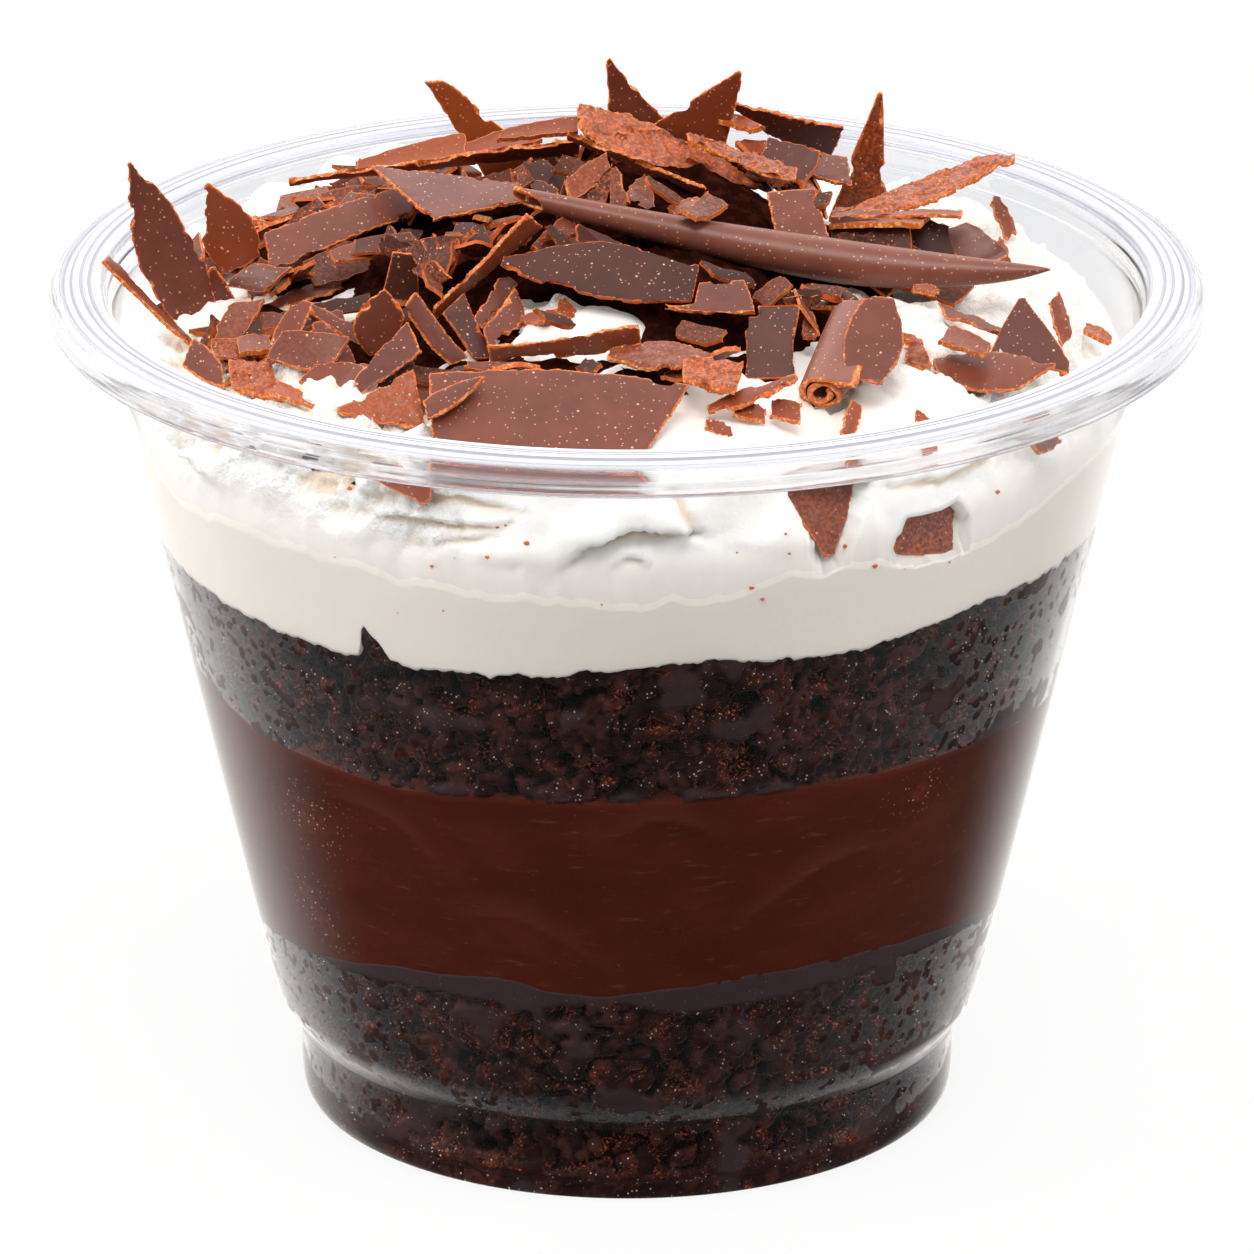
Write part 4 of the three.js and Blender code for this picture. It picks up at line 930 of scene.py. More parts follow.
def build_cream(settings):
    """Whipped cream: smooth against the wall, torn and folded above the line where it leaves it."""
    columns = settings.columns
    angles = np.arange(columns) * 360 / columns
    around_mm = around(angles, 40, 0)
    low = line_at(CAKE_TO_CREAM, angles) + 0.26 * layered(around_mm, 1.8, 61)
    low = low + 0.2 * layered(around_mm, 0.6, 62) + drip(angles)
    edge = cream_edge(angles)
    rings = [around(angles, 0.97 * filling_radius(low), low)]
    for share in np.linspace(0, 1, 30):
        z = low * (1 - share) + edge * share
        rings.append(around(angles, filling_radius(z) + 0.04, z))
    edge_radius = filling_radius(edge)
    shoulder_radius = shoulder_at(angles)
    for share in np.linspace(0, 1, 50)[1:]:
        radius = edge_radius * (1 - share) + (shoulder_radius - 0.5) * share
        rings.append(around(angles, radius, cream_height(angles, radius)))
    for share in np.linspace(1, 0.04, 34)[1:]:
        radius = share * (shoulder_radius - 0.5)
        rings.append(around(angles, radius, cream_height(angles, radius)))
    rings = np.array(rings)
    rows = len(rings)
    ahead = np.roll(rings, -1, axis=1) - np.roll(rings, 1, axis=1)
    upward = np.gradient(rings, axis=0)
    normals = np.cross(ahead, upward).reshape(-1, 3)
    normals /= np.maximum(np.linalg.norm(normals, axis=1), 1e-9)[:, None]
    points = rings.reshape(-1, 3).copy()
    free = smooth(-1, 9, np.arange(rows) - 31).repeat(columns)
    angle = np.tile(angles, rows)
    turn = (angle + 180) % 360 - 180
    left = smooth(-14, -26, turn) * smooth(-95, -70, turn)
    right = smooth(40, 58, turn) * smooth(175, 150, turn)
    rough = np.clip(0.12 + 0.9 * left + 0.7 * right + 0.5 * smooth(150, 170, np.abs(turn)), 0, 1)
    curd = layered(points, 1.9, 71) * 0.6 + 0.3 * np.abs(wander(points, 0.8, 74))
    ridges = 1.2 * np.abs(layered(points * (0.6, 0.6, 1.3), 2.8, 76))
    knobs = 0.5 * smooth(0.75, 0.1, grains(points, 1.3, 78)[0])
    inner = smooth(0, 12, np.arange(rows) - 44).repeat(columns)
    puffs = 1.3 * smooth(0.8, 0.15, grains(points, 4.6, 79)[0]) * inner
    puffs = puffs * np.clip(left + right + smooth(90, 120, np.abs(turn)), 0, 1)
    soft = 0.55 * layered(points, 6.0, 81)
    relief = curd + ridges + knobs
    push = free * (soft + puffs + rough * relief - 0.2 - 0.6 * rough)
    hang = np.zeros(len(points))
    # painted warm shade in the cream's hollows and low at the front
    shaded = smooth(4.5, 0.5, points[:, 2] - np.tile(edge, rows)) * smooth(42, 20, np.abs(turn - 4))
    shaded = 0.75 * shaded * smooth(-0.5, 0.5, layered(points, 3.4, 68))
    hollow = free * np.maximum(0.9 * rough * (1 - 0.7 * right) * smooth(0.75, 0.15, relief), shaded)
    for line, height, width in CREAM_FOLDS:
        out, down, shade = fold_offset(points + 0.18 * drift(points, 1.1, 85), line, height, width)
        push += free * out
        hang += free * down
        hollow = np.maximum(hollow, free * shade)
    dent_near, _, dent_which = grains(points, 6.0, 91)
    dents = (1 - free) * 0.12 * smooth(0.1, 0.03, dent_near) * (dent_which > 0.6)
    points += normals * (push - dents)[:, None]
    points[:, 2] -= hang
    limit = filling_radius(points[:, 2]) + 0.04 - 0.3 * free
    radius = np.hypot(points[:, 0], points[:, 1])
    points[:, :2] *= np.minimum(1, limit / radius)[:, None]
    # the cream lies behind the chips that stick to its flank, and under the shavings on its top
    chips = node_tree("chip_cream_large", "chip_cream_small")
    x, y, z = points.T
    for i in np.nonzero((x > 8) & (x < 34) & (y < -14) & (z > 58))[0]:
        inward = Vector((-points[i, 0], -points[i, 1], 0)).normalized()
        hit = chips.ray_cast(Vector(points[i]) - 2 * inward, inward, 6)
        if hit[0] or chips.find_nearest(Vector(points[i]))[3] < 1.1:
            behind = hit[0] + 1.1 * inward if hit[0] else Vector(points[i]) + 0.8 * inward
            if math.hypot(behind.x, behind.y) < math.hypot(points[i, 0], points[i, 1]):
                points[i, :2] = behind.x, behind.y
    lying = node_tree(*large_nodes())
    for i in np.nonzero((free > 0.5) & (points[:, 2] > 65))[0]:
        hit = lying.ray_cast(Vector(points[i]) + Vector((0, 0, 0.1)), Vector((0, 0, -1)), 1.6)
        if hit[0]:
            points[i, 2] = hit[0].z - 0.8
    body, faces = closed_rings(points.reshape(rings.shape))
    # pressed carries the painted shade where the cream lies on the wall, hollow the painted warm shade
    values = {"hollow": np.concatenate([hollow, [0, 0]]), "curds": np.concatenate([free * rough, [0, 0]]),
              "pressed": np.concatenate([smooth(0.6, 0.0, free), [0, 0]])}
    cream = new_piece("cream_layer", body, faces, cream_finish(settings), values)
    finish_piece(cream, "cream", "cream")
    return body, faces


# ---- shavings ------------------------------------------------------------------------------


def plate_axes(points, faces):
    """The direction out of a thin body's face: the one in which it is thinnest."""
    corners = points[[f[:3] for f in faces]]
    cross = np.cross(corners[:, 1] - corners[:, 0], corners[:, 2] - corners[:, 0])
    spread = cross.T @ (cross / np.maximum(np.linalg.norm(cross, axis=1), 1e-9)[:, None])
    return np.linalg.eigh(spread)[1][:, -1]


def rim_distance(points, normals, face, start=0.62):
    """Distance of each point from the broken edge of a thin body."""
    side = np.abs(normals @ face) < start
    tree = KDTree(int(side.sum()))
    for i, point in enumerate(points[side]):
        tree.insert(point, i)
    tree.balance()
    return np.array([0.0 if s else tree.find(p)[2] for p, s in zip(points, side)])


def weathered(name, points, faces, normals, face, torn, tone, settings, number):
    """Ragged edges and a lightly uneven face for a thin body; its points, faces and values."""
    edge = rim_distance(points, normals, face)
    ragged = settings.raggedness / MM
    seed = 100 + 7 * number
    close = np.exp(-edge / 0.5)
    warp = drift(points, 3.5, seed) * (1.4 * ragged)
    coarse = np.clip(0.45 + 0.9 * wander(points, 4.0, seed + 18), 0.1, 1.5)[:, None]
    teeth = np.stack([layered(points, 0.5, seed + 3 + 5 * k, 2) for k in range(3)], axis=1)
    teeth = teeth * ragged * coarse
    # notches cut in from the long sides
    middle = points.mean(axis=0)
    long_axis = np.linalg.svd((points - middle)[::9], full_matrices=False)[2][0]
    side_axis = np.cross(face, long_axis)
    beside = (points - middle) @ side_axis
    notch = smooth(0.3, 0.62, wander(points + 3.0 * np.sign(beside)[:, None], 1.5, seed + 19))
    notch = 0.55 * notch * np.exp(-edge / 0.4) * smooth(0.2, 0.7, np.abs(beside))
    shift = warp * np.exp(-edge / 2.5)[:, None] + teeth * close[:, None]
    shift -= (notch * np.sign(beside))[:, None] * side_axis
    shift -= (shift @ face)[:, None] * face
    lift = 0.12 * wander(points, 5.0, seed + 8) + 0.05 * close * wander(points, 0.7, seed + 9)
    flakes = np.abs(layered(points, 1.9, seed + 10)) - 0.35
    _, _, sheet = grains(points + warp, 2.4, seed + 12)
    lift = lift + torn * (0.35 * flakes + 0.5 * (sheet - 0.5) + 0.12 * wander(points, 0.5, seed + 14))
    side = np.sign(normals @ face) * smooth(0.2, 0.8, np.abs(normals @ face))
    thick = 0.04 * close * wander(points, 0.5, seed + 15) + torn * 0.12 * wander(points, 0.9, seed + 16)
    thick = thick - 0.07 - 0.06 * np.exp(-edge / 1.2) * (1 - torn)
    moved = points + shift + face * (lift + side * thick)[:, None]
    values = {
        "rim": np.exp(-((edge / settings.rim_width * MM) ** 2)),
        "tone": np.full(len(points), tone) + 0.12 * wander(points, 4, seed + 17),
        "torn": np.full(len(points), torn),
        "painted_shading": np.full(len(points), PAINTED_SHADING.get(name, 0.0)),
    }
    return moved, faces, values


def flat_shaving(name, number, settings):
    """A large flat shaving, from its solid."""
    mesh = NODES[name].data
    faces = [tuple(p.vertices) for p in mesh.polygons]
    points, faces, normals = remeshed(node_points(name), faces, settings.voxel / MM)
    face = plate_axes(points, faces)
    torn, tone = TORN.get(name, 0.0), TONES.get(name, 0.12)
    return weathered(name, points, faces, normals, face, torn, tone, settings, number)


def build_shavings(settings):
    """The large flat shavings, as one piece for each part of the heap."""
    material = chocolate_finish(settings)
    groups = {"front": FRONT, "middle": MIDDLE, "left": LEFT, "front_left": FRONT_LEFT, "right": RIGHT,
              "top": TOP, "back": BACK}
    number = 0
    for group, names in groups.items():
        parts = []
        for name in names:
            number += 1
            parts.append(flat_shaving(name, number, settings))
        points, faces, values = joined(parts)
        piece = new_piece("shavings_" + group, points, faces, material, values, flat_angle=48)
        finish_piece(piece, "chocolate", *names)


def rolled_sheet(start, end, look, radius_at, turns, seam, flap, squash, bow, stations, count, end_trim):
    """A sheet of chocolate rolled up while its radius changes along it."""
    start, end = np.array(start, float), np.array(end, float)
    along = (end - start) / np.linalg.norm(end - start)
    length = np.linalg.norm(end - start)
    face = facing(*look)
    face -= (face @ along) * along
    face /= np.linalg.norm(face)
    across = np.cross(face, along)
    rings, rims = [], []
    for station in range(stations + 1):
        t = station / stations
        radius = radius_at(t)
        thick = min(0.5, 0.28 * radius)
        pitch = thick + min(0.2, 0.12 * radius)
        begin = math.radians(seam)
        turned = np.linspace(0, turns, count)
        reach = radius - pitch * turned
        x, y = -reach * np.sin(begin + 2 * np.pi * turned), reach * np.cos(begin + 2 * np.pi * turned)
        if flap > 0:
            steps = np.linspace(1, 0.1, 8) * flap * (0.6 + 0.4 * t)
            x = np.concatenate([-radius * np.sin(begin) + steps * np.cos(begin), x])
            y = np.concatenate([radius * np.cos(begin) + steps * np.sin(begin), y])
        outer = np.stack([x, y], axis=1)
        slope = np.gradient(outer, axis=0)
        slope /= np.linalg.norm(slope, axis=1)[:, None]
        inner = outer + thick * np.stack([-slope[:, 1], slope[:, 0]], axis=1)
        section = np.concatenate([outer, inner[::-1]]) * (1, squash)
        trim = end_trim(t, np.concatenate([np.linspace(0, 1, len(outer)), np.linspace(1, 0, len(outer))]))
        middle = start + along * (length * t) + face * (bow * math.sin(math.pi * t) - radius * squash)
        flat = middle + np.outer(section[:, 0], across) + np.outer(section[:, 1], face)
        rings.append(flat + np.outer(trim, along))
        edge = np.zeros(len(section))
        last = len(outer) - 1
        edge[[0, 1, last - 1, last, last + 1, last + 2, -2, -1]] = 1
        rims.append(np.ones(len(section)) if station in (0, stations) else edge)
    rows, columns = np.array(rings).shape[:2]
    points = np.array(rings).reshape(-1, 3)
    faces = [tuple(f) for f in grid_faces(rows, columns)]
    half = columns // 2
    for first, flip in ((0, True), ((rows - 1) * columns, False)):
        for i in range(half - 1):
            quad = (first + i, first + i + 1, first + columns - 2 - i, first + columns - 1 - i)
            faces.append(quad[::-1] if flip else quad)
    return points, faces, np.concatenate(rims)


def build_rolls(settings):
    """The long quill and the curl with a flap."""
    material = chocolate_finish(settings)

    def quill_radius(t):
        swell = 1 + 1.2 * smooth(-0.1, 0.62, t)
        return float(swell if t < 0.6 else max(0.12, 2.2 * (1 - ((t - 0.6) / 0.4) ** 2) ** 0.75))

    def curl_radius(t):
        return 3 - 0.9 * t

    def jagged(points, rim, seed, amount):
        close = 0.25 + 0.75 * rim
        uneven = 0.12 * close[:, None] * drift(points, 4.0, seed + 5)
        return points + amount * rim[:, None] * drift(points, 0.8, seed) + uneven

    for name, number, arguments in (
        ("quill_long", 60, dict(
            start=(-8, -6, 80.5), end=(34.5, -8, 74.5), look=(0, 65), radius_at=quill_radius,
            turns=1.3, seam=205, flap=0, squash=1, bow=-0.8, stations=105, count=56,
            end_trim=lambda t, s: -1.3 * (1 - t) ** 12 * np.sin(9 * s) * (s < 0.8))),
        ("curl_front", 70, dict(
            start=(19, -18, 75.2), end=(15.5, -27.4, 71.8), look=(0, 80), radius_at=curl_radius,
            turns=1.9, seam=0, flap=3, squash=0.78, bow=0, stations=48, count=60,
            end_trim=lambda t, s: 0.25 * t**8 * np.sin(11 * s))),
    ):
        points, faces, rim = rolled_sheet(**arguments)
        points = jagged(points, rim, number, 0.2)
        blank = np.zeros(len(points))
        values = {"rim": rim, "tone": blank + 0.1, "torn": blank, "painted_shading": blank + PAINTED_SHADING[name]}
        piece = new_piece(name.replace("_", "_roll_"), points, faces, material, values)
        finish_piece(piece, "chocolate", name)


def flakes(shapes, seed, steps=9):
    """Thin shavings as joined grids. Each shape is start, end, face, two widths, belly, bow, cup, thickness,
    tone and painted shade."""
    rng = np.random.default_rng(seed)
    start, end, face = (np.array([s[i] for s in shapes], float) for i in range(3))
    wide = np.array([s[3] for s in shapes], float)
    belly, bow, cup, thick = (np.array([s[i] for s in shapes], float)[:, None, None] for i in range(4, 8))
    tone, painted_shading = (np.array([s[i] for s in shapes], float) for i in (8, 9))
    count = len(shapes)
    along = end - start
    length = np.linalg.norm(along, axis=1, keepdims=True)
    along /= length
    face -= (face * along).sum(axis=1, keepdims=True) * along
    face /= np.linalg.norm(face, axis=1, keepdims=True)
    across = np.cross(face, along)
    # the broken edge is a strip of the same width on every flake
    inset = np.clip(0.12 / length, 0.02, 0.2)
    inner = inset + (1 - 2 * inset) * np.linspace(0, 1, steps)
    t = np.concatenate([0 * inset, inner, 0 * inset + 1], axis=1)[:, :, None]
    inset = np.clip(0.22 / wide.mean(axis=1, keepdims=True), 0.03, 0.4)
    outer, inner = 0 * inset + 1, 0 * inset + 0.35
    u = np.concatenate([-outer, inset - 1, -inner, inner, 1 - inset, outer], axis=1)[:, None, :]
    rows, columns = t.shape[1], u.shape[2]
    base = wide[:, :1, None] * (1 - t) + wide[:, 1:, None] * t
    ragged = rng.normal(0, 0.07, (count, rows, 1)) * (u < 0)
    ragged = ragged + rng.normal(0, 0.07, (count, rows, 1)) * (u > 0)
    half = np.maximum(0.12, 0.5 * base + 0.5 * belly * np.sin(np.pi * t)) + ragged
    ends = rng.normal(0, 0.1, (count, 1, columns))
    slant = rng.normal(0, 0.45, (count, 1, 1)) * u * half
    reach = length[:, :, None] * t + ends * (np.abs(2 * t - 1) > 0.8) + slant
    lift = bow * np.sin(np.pi * t) + cup * (u**2 - 0.5) + rng.normal(0, 0.03, (count, rows, columns))
    middle = (
        start[:, None, None] + along[:, None, None] * reach[..., None]
        + across[:, None, None] * (u * half)[..., None] + face[:, None, None] * lift[..., None]
    )
    up = face[:, None, None] * (0.5 * thick)[..., None]
    points = np.stack([middle - up, middle + up], axis=1).reshape(count, -1, 3)
    rim = ((np.abs(u) == 1) | (t == 0) | (t == 1)).astype(float)
    rim = np.stack([rim, rim], axis=1).reshape(-1)
    one = []
    layer = rows * columns
    for row in range(rows - 1):
        for column in range(columns - 1):
            a = row * columns + column
            quad = (a, a + 1, a + columns + 1, a + columns)
            one.append(quad)
            one.append(tuple(layer + v for v in quad[::-1]))
    border = list(range(columns)) + [r * columns + columns - 1 for r in range(1, rows)]
    border += [(rows - 1) * columns + c for c in range(columns - 2, -1, -1)]
    border += [r * columns for r in range(rows - 2, 0, -1)]
    for a, b in zip(border, border[1:] + border[:1]):
        one.append((a, layer + a, layer + b, b))
    one = np.array(one)
    faces = (one[None] + (np.arange(count) * 2 * layer)[:, None, None]).reshape(-1, 4)
    values = {
        "rim": rim,
        "tone": np.repeat(tone, 2 * layer),
        "torn": np.repeat(np.clip(rng.normal(0.1, 0.2, count), 0, 1), 2 * layer),
        "painted_shading": np.repeat(painted_shading, 2 * layer),
    }
    return points.reshape(-1, 3), [tuple(f) for f in faces], values


def heap_reach(angle):
    lean = HEAP_LEAN * np.cos(np.radians(angle - HEAP_LEAN_ANGLE))
    ragged = 1.2 * np.sin(np.radians(7 * angle)) + 0.8 * np.sin(np.radians(13 * angle + 40))
    return HEAP_REACH + lean + ragged


def nearness(patches, x, y):
    """1 inside the patches, and 0 well outside them."""
    return max(float(smooth(1.25, 0.85, math.hypot(x - px, y - py) / reach)) for px, py, reach in patches)


def bareness(x, y):
    """1 inside the places where the cream shows, and 0 well outside them."""
    return nearness(BARE_PATCHES, x, y)


def build_heap(settings, cream):
    """The heap of small shavings over a darker core that fills it out and is painted as deep shade."""
    tree = node_tree("shavings_heap")
    cream_tree = BVHTree.FromPolygons(cream[0].tolist(), cream[1])

    def cream_top(x, y):
        hit = cream_tree.ray_cast(Vector((x, y, 99)), Vector((0, 0, -1)))
        return hit[0].z if hit[0] else 60.0

    def heap_top(x, y):
        hit = tree.ray_cast(Vector((x, y, 99)), Vector((0, 0, -1)))
        return hit[0].z if hit[0] else cream_top(x, y)

    columns, rows = 200, 44
    angles = np.arange(columns) * 360 / columns
    rings = []
    for share in np.linspace(1, 0.02, rows):
        radius = share * heap_reach(angles)
        ring = around(angles, radius, 0.0)
        for i, (x, y, _) in enumerate(ring):
            under = cream_top(x, y) - 1.2 - bareness(x, y)
            over = heap_top(x, y) - settings.core_depth / MM
            cover = (1 - bareness(x, y)) * float(smooth(1.0, 0.94, share))
            # the core is raised where its painted shade should show over the cream
            raised = 1.8 * nearness(SHADE_CORE_PATCHES, x, y)
            ring[i, 2] = under + max(max(0.0, over - under) * cover, raised)
        rings.append(ring)
    rings = np.array(rings)
    points = rings.reshape(-1, 3)
    flat = points * (1, 1, 0)
    points[:, 2] += 0.5 * layered(flat, 3.0, 95) + 0.35 * np.abs(layered(flat, 1.2, 97))
    low = rings[0] - (0, 0, 2.0)
    body, faces = closed_rings([low, *rings])
    core = new_piece("heap_shade_core", body, faces, core_finish(settings))
    finish_piece(core, "chocolate")

    large_tree = node_tree(*large_nodes())
    away = Vector((0, math.cos(math.radians(LOOK_DOWN)), -math.sin(math.radians(LOOK_DOWN))))
    rng = np.random.default_rng(settings.seed)
    shapes = []
    taken = {}

    def fits(ends, across, width):
        """Whether a shaving lies clear of the wall and of the large shavings, and hides none."""
        for share in (0, 0.25, 0.5, 0.75, 1):
            for side in (-0.45, 0, 0.45):
                spot = Vector(ends[0] * (1 - share) + ends[1] * share + side * width * across)
                if math.hypot(spot.x, spot.y) > SHAVING_REACH:
                    return False
                if spot.z < cream_top(spot.x, spot.y) - SUNK_MOST:
                    return False
                if spot.z > heap_top(spot.x, spot.y) + PROUD_MOST:
                    return False
                if large_tree.find_nearest(spot)[3] < CLEARANCE:
                    return False
                behind = large_tree.ray_cast(spot, away, BEHIND)[0]
                if behind and behind.z > cream_top(behind.x, behind.y) + CLEARANCE:
                    return False
        return True

    def add_shaving(spot, outward, length, depth_shade):
        """Tries to lay one small shaving at a spot, shorter each time that it doesn't fit."""
        for _ in range(5):
            loose = rng.normal(0, 1, 3)
            face = outward + 0.7 * loose / np.linalg.norm(loose)
            face /= np.linalg.norm(face)
            along = np.cross(face, rng.normal(0, 1, 3))
            along /= np.linalg.norm(along)
            width = length * rng.uniform(0.35, 0.75)
            middle = spot - face * rng.uniform(-0.1, 0.7)
            ends = middle - 0.5 * length * along, middle + 0.5 * length * along
            if fits(ends, np.cross(face, along), width):
                shapes.append((
                    ends[0], ends[1], face, (width * rng.uniform(0.2, 1), width * rng.uniform(0.7, 1.1)),
                    width * rng.uniform(0, 0.25), 0.04 * length * rng.normal(), rng.normal(0, 0.05),
                    rng.uniform(0.25, 0.42), float(np.clip(rng.normal(0.15, 0.15), 0, 0.8)), depth_shade,
                ))
                return
            length = max(3.0, 0.82 * length)

    # look at the heap from all round, and cover what shows of it
    for turn, rise, pitch in ((0, 20, 1.5), (0, 50, 2.4), (50, 30, 2.4), (-50, 30, 2.4), (100, 25, 2.4),
                              (-100, 25, 2.4), (150, 25, 2.4), (-150, 25, 2.4), (0, 89, 2.2)):
        out = facing(turn, rise)
        right = np.cross((0, 0, 1), out)
        right /= np.linalg.norm(right)
        up = np.cross(out, right)
        for v in np.arange(-20, 46, pitch):
            for u in np.arange(-42, 42, pitch):
                start = np.array((0, 0, CROWN)) + right * (u + rng.uniform(-1, 1))
                start = start + up * (v + rng.uniform(-1, 1)) + 90 * out
                hit = tree.ray_cast(Vector(start), Vector(-out))
                if not hit[0]:
                    hit = cream_tree.ray_cast(Vector(start), Vector(-out))
                if not hit[0] or len(shapes) >= settings.loose_count:
                    continue
                angle = math.degrees(math.atan2(hit[0].x, -hit[0].y))
                if math.hypot(hit[0].x, hit[0].y) > heap_reach(angle):
                    continue
                block = large_tree.ray_cast(Vector(start), Vector(-out))
                spot = np.array(hit[0])
                if (block[0] and block[3] < hit[3]) or bareness(spot[0], spot[1]) > 0.35:
                    continue
                cell = tuple((spot / 2.6).astype(int))
                if taken.get(cell, 0) > 1:
                    continue
                taken[cell] = taken.get(cell, 0) + 1
                # painted shade: each small shaving is darkened by a random amount, more when laid from the
                # front, for the shade inside the heap
                depth_shade = float(np.clip(rng.uniform(0.1, 0.6) + 0.25 * (turn == 0), 0, 0.75))
                length = float(np.clip(rng.lognormal(1.8, 0.32), 3.6, 10))
                add_shaving(spot, 0.5 * np.array(hit[1]) + 0.6 * out, length, depth_shade)
    material = chocolate_finish(settings)
    points, faces, values = flakes(shapes, settings.seed + 1, steps=6)
    loose = new_piece("shavings_loose", points, faces, material, values, flat_angle=50)
    finish_piece(loose, "chocolate", "shavings_heap")

    placed = []
    belly, bow, cup, thick = 0.3, 0.15, 0.08, 0.45
    for start, end, wide, look, tone in PLACED:
        # a tone below 0 becomes painted shade
        colours = max(tone, 0), 0.7 * max(-tone, 0)
        placed.append((start, end, facing(*look), wide, belly, bow, cup, thick, *colours))
    points, faces, values = flakes(placed, settings.seed + 2, steps=12)
    small = new_piece("shavings_small", points, faces, material, values, flat_angle=50)
    finish_piece(small, "chocolate")
    return cream_tree


def build_crumbs(settings, cream_tree):
    """Tiny crumbs of chocolate on the cream."""
    rng = np.random.default_rng(settings.seed + 3)
    spots = [(-7.9, 62.0), (-15.4, 59.4), (-11.0, 60.6), (9.8, 58.3), (10.7, 57.2), (17.2, 60.6),
             (12.5, 62.4), (12.8, 60.9), (19.6, 58.8), (-10.2, 62.8), (29.5, 62.0), (-22.0, 64.0)]
    spots += [(float(rng.uniform(-30, 34)), float(rng.uniform(52, 66))) for _ in range(10)]
    parts = []
    ball = np.array([(math.sin(p) * math.cos(q), math.sin(p) * math.sin(q), math.cos(p))
                     for p in np.linspace(0.3, 2.84, 4) for q in np.linspace(0, 2 * np.pi, 7)[:-1]])
    for number, (x, z) in enumerate(spots):
        hit = cream_tree.ray_cast(Vector((x, -60, z)), Vector((0, 1, 0)))
        if not hit[0]:
            continue
        size = float(rng.uniform(0.1, 0.24)) if number < 12 else float(rng.uniform(0.05, 0.13))
        lump = ball * size * rng.uniform(0.6, 1.3, (len(ball), 1)) * (1.3, 1, 0.8)
        points, faces = closed_rings((lump + np.array(hit[0])).reshape(4, 6, 3))
        blank = np.zeros(len(points))
        values = {"rim": blank + 0.8, "tone": blank + 0.7, "torn": blank, "painted_shading": blank}
        parts.append((points, faces, values))
    points, faces, values = joined(parts)
    crumbs = new_piece("chocolate_crumbs", points, faces, chocolate_finish(settings), values)
    finish_piece(crumbs, "chocolate")


# ---- stage ---------------------------------------------------------------------------------


def area_light(name, place, aim, size, energy, colour=(1, 1, 1), height=None):
    light = bpy.data.lights.new(name, "AREA")
    light.shape = "RECTANGLE"
    light.size = size
    light.size_y = height or size
    light.energy = energy
    light.color = colour
    lamp = bpy.data.objects.new(name, light)
    lamp.location = place
    lamp.rotation_euler = (Vector(aim) - Vector(place)).to_track_quat("-Z", "Y").to_euler()
    bpy.context.scene.collection.objects.link(lamp)


